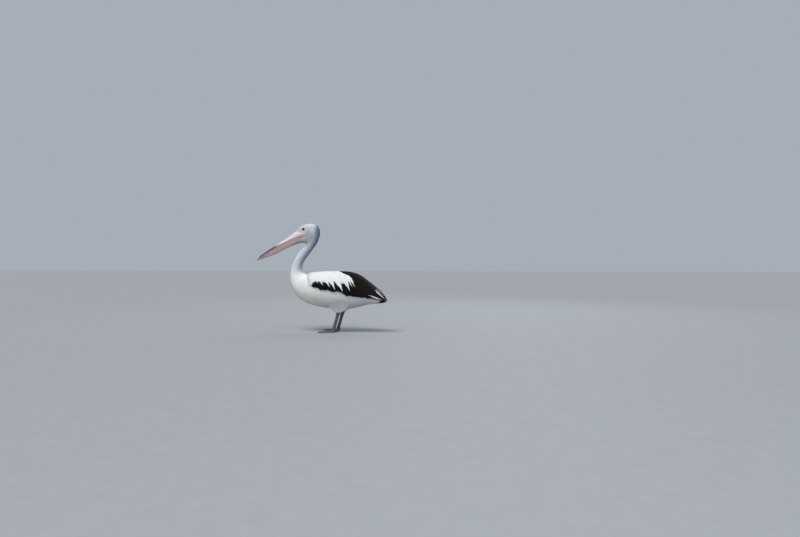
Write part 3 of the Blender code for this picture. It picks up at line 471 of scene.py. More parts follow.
def vanes(surface, feathers, form, section, rise=0.75):
    """Corners of every feather, as an array of feather, station, point of the section and xyz, and the
    way each corner faces if the vane shades as the form under it. A low rise lifts it near its root."""
    stations, outline = np.array(form[0]), np.array(form[1])
    across, height = np.array(section).T
    step_a, step_b = feathers.end_a - feathers.a, feathers.end_b - feathers.b
    a = feathers.a[:, None] + step_a[:, None] * stations
    b = feathers.b[:, None] + step_b[:, None] * stations
    pace_a, pace_b = pace(surface, a, b)
    ahead_a, ahead_b = step_a[:, None] * pace_a, step_b[:, None] * pace_b
    length = np.hypot(ahead_a, ahead_b)
    side_a, side_b = -ahead_b / length / pace_a, ahead_a / length / pace_b
    half = feathers.width[:, None] * outline
    sway = feathers.bend[:, None] * np.sin(np.pi * stations)
    shift = half[:, :, None] * across + sway[:, :, None]
    lift = feathers.root_lift[:, None] + (feathers.tip_lift - feathers.root_lift)[:, None] * stations**rise
    thin = 1 - TIP_THINNING * stations
    lift = (
        lift[:, :, None]
        + feathers.shaft[:, None, None] * height * thin[:, None]
        + feathers.tilt[:, None, None] * shift
    )
    shifted_a = a[:, :, None] + side_a[:, :, None] * shift
    shifted_b = b[:, :, None] + side_b[:, :, None] * shift
    corners = surface(shifted_a, shifted_b, lift)
    aside = unit(corners[:, :, np.argmax(across)] - corners[:, :, np.argmin(across)])
    facing = outward(surface, a, b)[:, :, None] + VANE_ROUNDING * across[:, None] * aside[:, :, None]
    return corners, unit(facing)


def coat(name, built, feathers, form, section, places, material, soft=True):
    """One mesh of closed vanes. Places are the roots on the unwrap of the skin, along and around. Soft
    vanes take the shading of the form under them."""
    corners, facing = built
    shape = corners.shape[:3]
    count, stations, points = shape
    index = np.arange(count * stations * points).reshape(shape)
    turned = np.roll(index, -1, axis=2)
    walls = np.stack([index[:, :-1], turned[:, :-1], turned[:, 1:], index[:, 1:]], -1).reshape(-1, 4)
    caps = np.concatenate([index[:, 0, ::-1], index[:, -1]]).reshape(-1, points)
    mesh = bpy.data.meshes.new(name)
    mesh.from_pydata(corners.reshape(-1, 3).tolist(), [], walls.tolist() + caps.tolist())
    across, height = np.array(section).T
    upper = (height > 0) | (np.roll(height, -1) > 0)
    upper = np.tile(upper, count * (stations - 1))
    order = np.concatenate([walls.ravel(), caps.ravel()])
    if soft:
        normals = facing.reshape(-1, 3)[order]
        normals[: len(upper) * 4][np.repeat(~upper, 4)] *= -1
        set_values(mesh, "custom_normal", normals, "FLOAT_VECTOR", "CORNER")
    else:
        mesh.polygons.foreach_set("use_smooth", np.concatenate([upper, np.zeros(2 * count, bool)]))
    across = np.broadcast_to(across, shape)
    station = np.broadcast_to(np.array(form[0])[:, None], shape)
    unwrap_u = places[1][:, None, None] + BAKE_PATCH * across
    unwrap_v = places[0][:, None, None] + 2 * BAKE_PATCH * station
    for title, u, v in (("OFBake", unwrap_u, unwrap_v), ("Vane", across * 0.5 + 0.5, station)):
        pairs = np.stack([u.ravel()[order], v.ravel()[order]], -1)
        mesh.uv_layers.new(name=title).data.foreach_set("uv", pairs.ravel().astype(np.float32))
    lie = np.stack([places[0], np.abs(places[1] - 0.5) / UNWRAP_WIDTH, feathers.luck], -1)
    set_values(mesh, "lie", np.broadcast_to(lie[:, None, None, :], shape + (3,)), "FLOAT_VECTOR")
    mesh.materials.append(material)
    return linked(name, mesh)


def spread(surface, range_a, range_b, spacing, skip=0.5):
    """Even places over a stretch of a surface, one to each square of the spacing."""
    edges_a = np.linspace(*range_a, 121)
    edges_b = np.linspace(*range_b, 97)
    corner = surface(edges_a[:, None], edges_b[None, :], 0.0)
    over_a = corner[1:, :-1] - corner[:-1, :-1]
    over_b = corner[:-1, 1:] - corner[:-1, :-1]
    area = np.linalg.norm(np.cross(over_a, over_b), axis=-1) + 1e-12
    count = int(area.sum() / spacing**2)
    first, second = ((skip + np.arange(count) * step) % 1 for step in EVEN_STEPS)
    rows = area.sum(axis=1)
    a = np.interp(first, np.append(0, np.cumsum(rows)) / rows.sum(), edges_a)
    band = np.clip(np.searchsorted(edges_a, a) - 1, 0, len(rows) - 1)
    b = np.empty(count)
    for i in range(len(rows)):
        here = band == i
        b[here] = np.interp(second[here], np.append(0, np.cumsum(area[i])) / rows[i], edges_b)
    return a, b


def ends(a, b, length, heading, paces):
    """Where feathers of given lengths end, each at its heading off the lie of the coat."""
    return a + length * np.cos(heading) / paces[0], b + length * np.sin(heading) / paces[1]


def skin_place(place, turn):
    """Where a point of the body lies on the unwrap of the skin: along it, and round it."""
    return 0.03 + 0.94 * np.asarray(place) / BODY_END, 0.5 + UNWRAP_WIDTH * np.asarray(turn) / np.pi


# Shader node groups

def wire(tree, value, target):
    """Gives an input a socket, a number or a colour."""
    if isinstance(value, (int, float)):
        target.default_value = value
    elif isinstance(value, tuple):
        target.default_value = (*value, 1)
    else:
        tree.links.new(value, target)


def node(tree, kind, **settings):
    """A new node. A setting named in_ and a number is the value of that input."""
    made = tree.nodes.new(kind)
    for name, value in settings.items():
        if name.startswith("in_"):
            made.inputs[int(name[3:])].default_value = value
        else:
            setattr(made, name, value)
    return made


def math_node(tree, operation, *values):
    """The output of a Math node whose inputs are sockets or numbers."""
    made = node(tree, "ShaderNodeMath", operation=operation)
    for value, target in zip(values, made.inputs):
        wire(tree, value, target)
    return made.outputs[0]


def times(tree, first, *others):
    """The product of sockets and numbers."""
    for other in others:
        first = math_node(tree, "MULTIPLY", first, other)
    return first


def weighed(tree, first, *others):
    """The sum of sockets, each given with its share."""
    total = math_node(tree, "MULTIPLY", *first)
    for value, part in others:
        total = math_node(tree, "MULTIPLY_ADD", value, part, total)
    return total


def ramp(tree, value, low, high):
    """A smooth rise from 0 at low to 1 at high, or a fall where low is the greater."""
    made = node(tree, "ShaderNodeMapRange", interpolation_type="SMOOTHSTEP")
    wire(tree, value, made.inputs["Value"])
    wire(tree, min(low, high), made.inputs["From Min"])
    wire(tree, max(low, high), made.inputs["From Max"])
    wire(tree, float(low > high), made.inputs["To Min"])
    wire(tree, float(low <= high), made.inputs["To Max"])
    return made.outputs["Result"]


def mixed(tree, factor, first, second):
    """A colour between two, which are sockets or colours."""
    made = node(tree, "ShaderNodeMix", data_type="RGBA")
    for i, value in ((0, factor), (6, first), (7, second)):
        wire(tree, value, made.inputs[i])
    return made.outputs[2]


def noise(tree, place, scale, detail):
    """Soft random spots from 0 to 1."""
    made = node(tree, "ShaderNodeTexNoise")
    for title, value in (("Vector", place), ("Scale", scale), ("Detail", detail)):
        wire(tree, value, made.inputs[title])
    return made.outputs["Fac"]


def split(tree, vector):
    """The x, y and z of a vector."""
    made = node(tree, "ShaderNodeSeparateXYZ")
    wire(tree, vector, made.inputs[0])
    return made.outputs


def stretched(tree, place, scale, tilt=0.0):
    """A place turned about x and then scaled along each axis."""
    made = node(tree, "ShaderNodeMapping", in_2=(tilt, 0, 0), in_3=scale)
    wire(tree, place, made.inputs[0])
    return made.outputs[0]


def new_group(name, inputs, outputs):
    """An empty node group with named sockets, its input node's outputs and its output node's inputs."""
    group = bpy.data.node_groups.new(name, "ShaderNodeTree")
    for title, kind, value in inputs:
        socket = group.interface.new_socket(title, in_out="INPUT", socket_type="NodeSocket" + kind)
        if value is not None:
            socket.default_value = value
    for title, kind in outputs:
        group.interface.new_socket(title, in_out="OUTPUT", socket_type="NodeSocket" + kind)
    entry = group.nodes.new("NodeGroupInput")
    exit_node = group.nodes.new("NodeGroupOutput")
    return group, entry.outputs, exit_node.inputs


# Tones of the white plumage, each laid over the ones before it: its own cream and greys, and painted shade.
# A tone fades in along the body, round it or round it with a ragged edge, from the first value, where it is
# absent, to the second, where it is full. Its strength and its colour follow.
PLUMAGE_WHITE = (0.90, 0.90, 0.89)
PLUMAGE_TONES = (
    # Creamy breast
    ((("length", 0.50, 0.62), ("length", 0.86, 0.72), ("turn", 0.30, 0.65)), 0.70, (0.89, 0.86, 0.78)),
    # Painted shade of the underside, on the belly
    ((("length", 0.66, 0.80), ("turn", 0.50, 0.84)), 0.75, (0.50, 0.51, 0.52)),
    # Cheek: grey below the eye, partly its own colour and partly painted shade
    ((("length", 0.09, 0.15), ("length", 0.30, 0.22), ("turn", 0.40, 0.52)), 0.82, (0.38, 0.42, 0.46)),
    # Crown
    ((("length", 0.28, 0.16),), 0.50, (0.58, 0.62, 0.66)),
    # Painted shade on the side of the head, between the cheek and the nape
    ((("length", 0.19, 0.25), ("length", 0.40, 0.29), ("turn", 0.82, 0.62)), 0.60, (0.42, 0.47, 0.57)),
    # Painted cool shade over the neck
    ((("length", 0.20, 0.30), ("length", 0.64, 0.46)), 0.60, (0.58, 0.625, 0.71)),
    # Rear of the head
    ((("length", 0.15, 0.23), ("length", 0.32, 0.25), ("ragged", 0.78, 0.30)), 0.30, (0.36, 0.42, 0.50)),
    # Soft border of the nape, with painted shade down the rear of the neck
    ((("ragged", 0.50, 0.24), ("length", 0.17, 0.24), ("length", 0.60, 0.42)), 0.80, (0.29, 0.33, 0.42)),
)
NAPE_FADES, NAPE_STRENGTH = (("ragged", 0.33, 0.17), ("length", 0.170, 0.225), ("length", 0.52, 0.36)), 0.95
NAPE_DARK, NAPE_LIGHT, NAPE_LOW = (0.056, 0.080, 0.125), (0.30, 0.35, 0.44), (0.16, 0.18, 0.23)


def plumage_markings_and_shade():
    """Colour of the white plumage by place on the skin: grey nape, creamy breast, a cheek partly grey and
    partly painted shade, and painted shade on the belly, the neck and the side of the head.
    """
    group, given, result = new_group(
        "plumage_markings_and_shade", (("Along", "Float", 0.5), ("Around", "Float", 0.5)), (("Color", "Color"),)
    )
    length, turn = given["Along"], given["Around"]
    place = node(group, "ShaderNodeCombineXYZ")
    wire(group, times(group, length, 110.0), place.inputs[0])
    wire(group, times(group, turn, 26.0), place.inputs[1])
    streaks = noise(group, place.outputs[0], 1.0, 3.0)
    ragged = math_node(group, "ADD", turn, math_node(group, "MULTIPLY_ADD", streaks, 0.34, -0.17))
    read = {"length": length, "turn": turn, "ragged": ragged}
    slate = mixed(group, ramp(group, streaks, 0.36, 0.60), NAPE_DARK, NAPE_LIGHT)
    slate = mixed(group, ramp(group, length, 0.32, 0.50), slate, NAPE_LOW)
    colour = PLUMAGE_WHITE
    for fades, strength, tone in PLUMAGE_TONES + ((NAPE_FADES, NAPE_STRENGTH, slate),):
        ramps = [ramp(group, read[name], absent, full) for name, absent, full in fades]
        colour = mixed(group, times(group, *ramps, strength), colour, tone)
    wire(group, colour, result["Color"])
    return group


def feather_vane():
    """The shaft, barbs and frayed edge of a vane, from its own map and a chance value."""
    group, given, result = new_group(
        "feather_vane",
        (("Vane", "Vector", None), ("Chance", "Float", 0.5), ("Barbs", "Float", 60.0)),
        (("Height", "Float"), ("Shaft", "Float"), ("Edge", "Float"), ("Fray", "Float")),
    )
    place = split(group, given["Vane"])
    across = math_node(group, "ABSOLUTE", math_node(group, "SUBTRACT", place[0], 0.5))
    slant = math_node(group, "MULTIPLY_ADD", across, -0.7, place[1])
    shifted = math_node(group, "ADD", slant, given["Chance"])
    barbs = math_node(group, "SINE", times(group, shifted, given["Barbs"]))
    spots = noise(group, given["Vane"], 9.0, 2.0)
    shaft = ramp(group, across, 0.05, 0.015)
    height = math_node(group, "ADD", times(group, barbs, 0.22), times(group, spots, 0.8))
    wire(group, math_node(group, "MAXIMUM", height, shaft), result["Height"])
    wire(group, shaft, result["Shaft"])
    wire(group, ramp(group, across, 0.30, 0.50), result["Edge"])
    wire(group, times(group, spots, given["Chance"]), result["Fray"])
    return group


def fine_skin():
    """Bare skin: creases, pores and a blotchy tone, from a position and a size."""
    group, given, result = new_group(
        "fine_skin",
        (("Vector", "Vector", None), ("Scale", "Float", 300.0)),
        (("Height", "Float"), ("Blotch", "Float"), ("Crease", "Float")),
    )
    cells = node(group, "ShaderNodeTexVoronoi", feature="DISTANCE_TO_EDGE")
    for title in ("Vector", "Scale"):
        wire(group, given[title], cells.inputs[title])
    crease = ramp(group, cells.outputs["Distance"], 0.0, 0.16)
    pores = noise(group, given["Vector"], given["Scale"], 6.0)
    wire(group, math_node(group, "MULTIPLY_ADD", pores, 0.5, crease), result["Height"])
    wire(group, noise(group, given["Vector"], 38.0, 4.0), result["Blotch"])
    wire(group, crease, result["Crease"])
    return group


MARKINGS_AND_SHADE, VANE, FINE_SKIN = plumage_markings_and_shade(), feather_vane(), fine_skin()


# Materials

def placed(tree, group, **values):
    """A node group in a tree with its inputs filled, and its outputs."""
    made = node(tree, "ShaderNodeGroup", node_tree=group)
    for title, value in values.items():
        wire(tree, value, made.inputs[title])
    return made.outputs


def attribute(tree, name, output="Fac"):
    """What the mesh carries under a name."""
    return node(tree, "ShaderNodeAttribute", attribute_name=name).outputs[output]


def object_place(tree):
    """The place of a point in metres."""
    return node(tree, "ShaderNodeTexCoord").outputs["Object"]


def bare_skin(tree, scale):
    """Creases and blotches of bare skin at a point, with so many creases to a metre."""
    return placed(tree, FINE_SKIN, Vector=object_place(tree), Scale=scale)


def lie_of(tree):
    """Where a point lies along and round the body, and its third value."""
    return split(tree, attribute(tree, "lie", "Vector"))


def marked(tree, lie):
    """The plumage's colour at a place along and round the body, with its painted shade."""
    return placed(tree, MARKINGS_AND_SHADE, Along=lie[0], Around=lie[1])["Color"]


def new_material(name, roughness, **sockets):
    """A new material and its tree, with values on its shader's own sockets."""
    material = bpy.data.materials.new(name)
    material.use_nodes = True
    shader = material.node_tree.nodes["Principled BSDF"]
    shader.inputs["Roughness"].default_value = roughness
    for title, value in sockets.items():
        shader.inputs[title.replace("_", " ")].default_value = value
    return material, material.node_tree


def finished(material, colour, height=None, relief=0.0, strength=0.5):
    """Gives a material its colour and its relief in metres, and returns it."""
    tree = material.node_tree
    shader = tree.nodes["Principled BSDF"]
    wire(tree, colour, shader.inputs["Base Color"])
    if height is not None:
        bump = node(tree, "ShaderNodeBump", in_0=strength, in_1=relief)
        wire(tree, height, bump.inputs["Height"])
        wire(tree, bump.outputs["Normal"], shader.inputs["Normal"])
    return material


def feather_material(name, relief, dark=None, pale=None, roughness=0.75, barbs=60.0, white=None):
    """Feathers from a dark to a pale colour by wear and, at the rear, by a painted brown sheen; or white
    ones, in the plumage's markings and painted shade by default.
    """
    material, tree = new_material(name, roughness, Specular_IOR_Level=0.10 if dark else 0.30)
    lie = lie_of(tree)
    own_map = node(tree, "ShaderNodeUVMap", uv_map="Vane").outputs[0]
    vane = placed(tree, VANE, Vane=own_map, Chance=lie[2], Barbs=barbs)
    if dark:
        # Frays, edges and shafts are real wear; the rear ones are painted browner, a painted sheen.
        rear = ramp(tree, lie[0], 0.80, 0.89)
        own = ((vane["Fray"], 0.40), (vane["Edge"], 0.16), (vane["Shaft"], 0.20))
        wear_and_sheen = weighed(tree, (rear, 0.30), *own)
        colour = mixed(tree, wear_and_sheen, dark, pale)
    else:
        patch = ramp(tree, noise(tree, object_place(tree), 14.0, 2.0), 0.40, 0.72)
        dull = weighed(tree, (lie[2], 0.06), (patch, 0.07), (vane["Fray"], 0.12), (vane["Shaft"], 0.06))
        colour = mixed(tree, dull, white or marked(tree, lie), (0.05, 0.045, 0.04))
    return finished(material, colour, vane["Height"], relief, 0.6)


def skin_material():
    """Skin in the coat's markings and painted shade, black under the wings' black feathers and bare on the
    face.
    """
    material, tree = new_material("skin_under_feathers", 0.7)
    lie = lie_of(tree)
    colour = mixed(tree, 0.10, marked(tree, lie), (0.10, 0.09, 0.08))
    colour = mixed(tree, lie[2], colour, (0.010, 0.009, 0.009))
    skin = bare_skin(tree, 600.0)
    flesh = mixed(tree, skin["Blotch"], (0.43, 0.35, 0.385), (0.54, 0.45, 0.49))
    colour = mixed(tree, attribute(tree, "mouth_skin"), colour, flesh)
    eye = attribute(tree, "eye_skin")
    rim = mixed(tree, skin["Blotch"], (0.34, 0.32, 0.32), (0.56, 0.52, 0.44))
    yellow = mixed(tree, ramp(tree, eye, 0.55, 0.95), rim, (0.80, 0.76, 0.50))
    colour = mixed(tree, ramp(tree, eye, 0.02, 0.40), colour, yellow)
    return finished(material, colour, skin["Height"], 0.0003)


def bill_material(name, near, far, edge_dark, start, end, pale):
    """Horn that changes from one colour to the next along y, with marked lines and a pale stretch."""
    material, tree = new_material(name, 0.42, Coat_Weight=0.12, Coat_Roughness=0.3)
    place = object_place(tree)
    y = split(tree, place)[1]
    skin = placed(tree, FINE_SKIN, Vector=stretched(tree, place, (1.0, 0.12, 1.0), BILL_SLOPE), Scale=420.0)
    distance = ramp(tree, y, start, end)
    colour = mixed(tree, distance, near, far)
    colour = mixed(tree, times(tree, attribute(tree, "pale_top"), distance), colour, pale)
    colour = mixed(tree, times(tree, skin["Blotch"], 0.14), colour, edge_dark)
    colour = mixed(tree, ramp(tree, y, -0.470, -0.494), colour, (0.60, 0.58, 0.20))
    colour = mixed(tree, attribute(tree, "dark_line"), colour, edge_dark)
    return finished(material, colour, skin["Height"], 0.00007)


# The pouch's colours from its tip to the throat, each with the stretch of y over which it takes over.
POUCH_TIP_COLOUR = (0.66, 0.43, 0.53)
POUCH_TONES = (
    (-0.40, -0.34, (0.58, 0.42, 0.45)),
    (-0.31, -0.27, (0.61, 0.42, 0.35)),
    (-0.22, -0.17, (0.48, 0.41, 0.36)),
)


def pouch_material():
    """Bare pouch skin, tan in the middle of its length and pink to mauve at both ends."""
    material, tree = new_material("pouch_folded_skin", 0.46, Coat_Weight=0.10, Coat_Roughness=0.35)
    place = object_place(tree)
    y = split(tree, place)[1]
    colour = POUCH_TIP_COLOUR
    for start, full, tone in POUCH_TONES:
        colour = mixed(tree, ramp(tree, y, start, full), colour, tone)
    under = attribute(tree, "underneath")
    rear = times(tree, ramp(tree, y, -0.21, -0.15), ramp(tree, under, 0.60, 0.50))
    colour = mixed(tree, rear, colour, (0.50, 0.43, 0.48))
    fringe = times(tree, ramp(tree, y, -0.24, -0.17), ramp(tree, under, 0.66, 0.82), 0.7)
    colour = mixed(tree, fringe, colour, (0.20, 0.14, 0.15))
    veins = noise(tree, stretched(tree, place, (3.0, 0.6, 2.4)), 26.0, 5.0)
    colour = mixed(tree, times(tree, ramp(tree, veins, 0.52, 0.72), 0.35), colour, (0.40, 0.22, 0.25))
    skin = placed(tree, FINE_SKIN, Vector=place, Scale=520.0)
    return finished(material, colour, skin["Height"], 0.0004, 0.6)


def leg_material():
    """Slate grey scaled skin, paler between the scales."""
    material, tree = new_material("scaled_leg_skin", 0.55)
    skin = bare_skin(tree, 330.0)
    colour = mixed(tree, skin["Blotch"], (0.048, 0.056, 0.076), (0.095, 0.105, 0.132))
    pale = times(tree, math_node(tree, "SUBTRACT", 1.0, skin["Crease"]), 0.55)
    colour = mixed(tree, pale, colour, (0.17, 0.175, 0.19))
    return finished(material, colour, skin["Height"], 0.0006, 0.8)


def horn_material(name, first, second, roughness, scale):
    """Glossy horn in two tones with a fine grain."""
    material, tree = new_material(name, roughness, Coat_Weight=0.2, Coat_Roughness=0.2)
    skin = bare_skin(tree, scale)
    return finished(material, mixed(tree, skin["Blotch"], first, second), skin["Height"], 0.0002)


def lid_material():
    """Pale yellow lids with a black margin."""
    material, tree = new_material("yellow_lid_skin", 0.45)
    skin = bare_skin(tree, 900.0)
    colour = mixed(tree, skin["Blotch"], (0.84, 0.80, 0.52), (0.70, 0.64, 0.46))
    colour = mixed(tree, attribute(tree, "margin"), colour, (0.008, 0.007, 0.007))
    return finished(material, colour, skin["Height"], 0.0002)


def eye_material():
    """A wet, dark eye: black pupil and dark brown iris, ringed and flecked."""
    material, tree = new_material("wet_eye", 0.05, Specular_IOR_Level=0.35)
    gaze = attribute(tree, "gaze")
    flecks = noise(tree, object_place(tree), 900.0, 4.0)
    iris = mixed(tree, flecks, (0.012, 0.007, 0.005), (0.040, 0.022, 0.013))
    colour = mixed(tree, ramp(tree, gaze, 0.80, 0.86), iris, (0.004, 0.004, 0.004))
    colour = mixed(tree, ramp(tree, gaze, 0.62, 0.52), colour, (0.006, 0.005, 0.005))
    return finished(material, colour)


WHITE = feather_material("white_plumage_feathers", 0.00005)
WING_WHITE = feather_material("white_covert_feathers", 0.00012, white=(0.87, 0.87, 0.88))
BLACK = feather_material(
    "black_wing_feathers", 0.0003, (0.0030, 0.0028, 0.0032), (0.036, 0.024, 0.020), 0.55, 90.0
)
TAIL_BLACK = feather_material(
    "black_tail_feathers", 0.0003, (0.004, 0.004, 0.0045), (0.040, 0.035, 0.032), 0.55, 90.0
)
CREST_GREY = feather_material(
    "grey_crest_feathers", 0.00005, (0.035, 0.045, 0.070), (0.20, 0.22, 0.27), 0.8, 50.0
)
SKIN = skin_material()
BILL_HORN = bill_material(
    "pink_bill_horn", (0.045, 0.032, 0.034), (0.80, 0.67, 0.70), (0.27, 0.18, 0.20), -0.375, -0.290,
    (0.75, 0.72, 0.81),
)
JAW_HORN = bill_material(
    "pink_jaw_horn", (0.66, 0.45, 0.53), (0.56, 0.46, 0.50), (0.36, 0.24, 0.28), -0.44, -0.15,
    (0.66, 0.49, 0.42),
)
NAIL_HORN = horn_material("yellow_nail_horn", (0.62, 0.60, 0.22), (0.74, 0.70, 0.38), 0.35, 300.0)
POUCH = pouch_material()
LEG_SKIN = leg_material()
CLAW_HORN = horn_material("dark_claw_horn", (0.035, 0.035, 0.04), (0.10, 0.095, 0.09), 0.4, 500.0)
LID_SKIN = lid_material()
EYE_GLOSS = eye_material()


# The skin

# How far the folded arm lies under the wing's core, and how much deeper at its front edge.
ARM_COVER, ARM_FRONT_DROP = 0.0015, 0.012
# The wing's white panel as a closed outline of (y, degrees).
WHITE_AREA = list(WHITE_EDGE) + [(0.176, -1), (-0.13, -1), (-0.13, 95)]
# Where along y the scapulars of both sides meet over the middle of the back.
SCAPULARS_MEET = (0.165, 0.395)
# Bare skin round the eye: its middle (y, z), its half sizes and the height at which it ends.
EYE_SKIN_PLACE, EYE_SKIN_HALF_SIZES, EYE_SKIN_LOW = (-0.1235, 0.7715), (0.0150, 0.0165), 0.74
# Bare skin between the bill and the pouch and round the corner of the mouth, as (y, z).
BARE_FACE = [
    (-0.112, 0.7465), (-0.100, 0.7440), (-0.0925, 0.7230), (-0.0915, 0.7000), (-0.0985, 0.6680),
    (-0.108, 0.6590), (-0.130, 0.6700), (-0.205, 0.6850), (-0.205, 0.7050), (-0.135, 0.7330),
]
# A direction in which hardly any face lies edge on, to tell whether a point is inside a mesh.
ASIDE = Vector((1, 0.013, 0.007)).normalized()


def applied(thing, kind, **settings):
    """Adds a modifier to an object and applies it."""
    modifier = thing.modifiers.new(kind.lower(), kind)
    for name, value in settings.items():
        setattr(modifier, name, value)
    graph = bpy.context.evaluated_depsgraph_get()
    made = bpy.data.meshes.new_from_object(thing.evaluated_get(graph))
    thing.modifiers.clear()
    thing.data = made


def wing_core(sign):
    """Points of the folded arm under the wing's feathers."""
    u = np.linspace(0, 1, 40)[:, None]
    v = np.linspace(0, 1, 26)[None, :]
    y = along(WING_FRONT, v) * (1 - u) + WING_REAR * u
    top, low = wing_edges(y)
    turn = top + (low - CORE_INSET - top) * v
    lift = core_lift(y, turn) - ARM_COVER - ARM_FRONT_DROP * np.clip(1 - u / 0.08, 0, 1)
    thickness = np.interp(u, (0, 0.12, 0.72, 1), (0.004, 0.030, 0.032, 0.012))
    outer = wing_point(y, turn * sign, lift)
    inner = wing_point(y, turn * sign, lift - thickness)
    ring = np.concatenate([outer, inner[:, ::-1]], axis=1)
    return ring if sign > 0 else ring[:, ::-1]


def make_skin():
    """One closed skin over head, neck, body, thighs and the folded arms, inside the coat."""
    place, turn = ring_grid(BODY_END, 220, 72)
    skin = grid_mesh("skin", body_point(place, turn, -coat_depth(place)), SKIN)
    rings = np.linspace(0, len(THIGH_RIBS) - 1, 40)[:, None]
    pieces = []
    for name, sign in SIDES:
        pieces.append(grid_mesh("arm_" + name, wing_core(sign), SKIN))
        shell = leg_surface(THIGH_RIBS, sign)(rings, turn, -THIGH_COAT_DEPTH)
        pieces.append(grid_mesh("thigh_" + name, shell, SKIN))
    group = bpy.data.collections.new("skin_pieces")
    bpy.context.scene.collection.children.link(group)
    for piece in pieces:
        group.objects.link(piece)
    union = {"operation": "UNION", "operand_type": "COLLECTION", "collection": group, "solver": "MANIFOLD"}
    applied(skin, "BOOLEAN", **union)
    for piece in pieces:
        bpy.data.objects.remove(piece)
    bpy.data.collections.remove(group)
    applied(skin, "REMESH", mode="VOXEL", voxel_size=0.0032)
    applied(skin, "SMOOTH", factor=0.5, iterations=4)
    sink_sockets(skin.data)
    skin.data.shade_smooth()
    mark_skin(skin.data)
    return skin


def sink_sockets(mesh):
    """Presses the skin in round each eye, so that the lids stand over it."""
    points = read_points(mesh)
    for _, sign in SIDES:
        out = np.array([sign * EYE_OUTWARD[0], *EYE_OUTWARD[1:]])
        out = out / np.linalg.norm(out)
        away = points - np.array([sign * EYE_PLACE[0], *EYE_PLACE[1:]])
        height = away @ out
        radius = np.linalg.norm(away - height[:, None] * out, axis=1)
        points -= (SOCKET_DEPTH * np.exp(-((radius / SOCKET_RADIUS) ** 4)) * (height > 0))[:, None] * out
    move_points(mesh, points)


def mark_skin(mesh):
    """Gives each point of the skin its place along and round the body, and its black or bare parts."""
    points = read_points(mesh)
    places, turns = np.meshgrid(
        np.linspace(0, BODY_END, 260), np.linspace(-np.pi, np.pi, 64, endpoint=False)
    )
    places, turns = places.ravel(), turns.ravel()
    samples = body_point(places, turns, -coat_depth(places))
    tree = KDTree(len(samples))
    for i, sample in enumerate(samples):
        tree.insert(sample, i)
    tree.balance()
    nearest = np.array([tree.find(point)[1] for point in points])
    length, turn = skin_place(places[nearest], turns[nearest])
    lie = np.stack([length, np.abs(turn - 0.5) / UNWRAP_WIDTH, wing_black(points)], -1)
    set_values(mesh, "lie", lie, "FLOAT_VECTOR")
    set_values(mesh, "mouth_skin", inside_outline(BARE_FACE, points[:, 1], points[:, 2]))
    set_values(mesh, "eye_skin", bare_eye(points) * (points[:, 2] > EYE_SKIN_LOW))


def wing_turn(points):
    """Degrees round the wings' form of each point, from its place in space."""
    top, low, half_width = wing_rows(points[:, 1])
    across = np.abs(points[:, 0]) / half_width
    rise = (points[:, 2] - (top + low) / 2) / ((top - low) / 2)
    power = WING_SQUARENESS / 2
    return np.degrees(np.arctan2(across**power, signed_power(rise, power)))


def inside_outline(outline, x, y):
    """Whether each point lies inside a closed outline."""
    inside = np.zeros(len(x), bool)
    for (x0, y0), (x1, y1) in zip(outline, outline[1:] + outline[:1]):
        crosses = (y0 > y) != (y1 > y)
        with np.errstate(divide="ignore", invalid="ignore"):
            reach = x0 + (y - y0) * (x1 - x0) / (y1 - y0)
        inside ^= crosses & (x < reach)
    return inside


def rib_place(y, first, column):
    """Place along the body at each y, from a rib on, by the backs (column 0) or bellies (2) of the ribs."""
    return np.interp(y, [row[column] for row in BODY_RIBS[first:33]], np.arange(first, 33))


def wing_black(points):
    """Whether the wing's feathers over each point are black."""
    turn = wing_turn(points)
    y = points[:, 1]
    over = (turn < along(WING_LOWER_EDGE, y) - 1) & (y > -0.03) & (y < 0.53)
    return over & ~inside_outline(WHITE_AREA, y, turn)


def under_wing(points, margin=6.0):
    """Whether the wings hide the body at each point, by a margin in degrees."""
    turn = wing_turn(points)
    y = points[:, 1]
    low = along(WING_LOWER_EDGE, y) - margin
    top = along(WING_TOP_EDGE, y) + margin * 0.5
    between_scapulars = (y > SCAPULARS_MEET[0]) & (y < SCAPULARS_MEET[1])
    return (turn < low) & ((turn > top) | between_scapulars) & (y > wing_front(turn) + 0.018)


def in_or_near(tree, point, reach):
    """Whether a point lies within reach of a closed mesh, or in it."""
    if tree.find_nearest(point, reach)[0] is not None:
        return True
    inside = False
    wall = tree.ray_cast(point, ASIDE)[0]
    while wall is not None:
        inside = not inside
        wall = tree.ray_cast(wall + ASIDE * 1e-6, ASIDE)[0]
    return inside


def hidden_by_bill(points, reach):
    """Whether each point lies in or right beside the bill, jaw or pouch."""
    graph = bpy.context.evaluated_depsgraph_get()
    nodes = [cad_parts[name] for name in ("bill_upper", "bill_lower", "pouch")]
    trees = [BVHTree.FromObject(thing, graph) for thing in nodes]
    return np.array([any(in_or_near(tree, Vector(point), reach) for tree in trees) for point in points])


def bare_eye(points):
    """1 on the bare skin round the eye, falling to 0 past its edge."""
    away = (points[:, 1:] - EYE_SKIN_PLACE) / EYE_SKIN_HALF_SIZES
    return np.clip((1.25 - np.linalg.norm(away, axis=1)) / 0.5, 0, 1)


def in_thigh(points):
    """Whether each point lies well inside a thigh, where the coat can't be seen."""
    rows = np.array(THIGH_RIBS)[::-1]
    half_x = np.interp(points[:, 2], rows[:, 1], rows[:, 2])
    half_y = np.interp(points[:, 2], rows[:, 1], rows[:, 3])
    x = (np.abs(points[:, 0]) - LEG_X) / half_x
    y = (points[:, 1] - THIGH_Y) / half_y
    return (x**2 + y**2 < 0.6) & (points[:, 2] < rows[-1, 1] - 0.02)


# Body coat

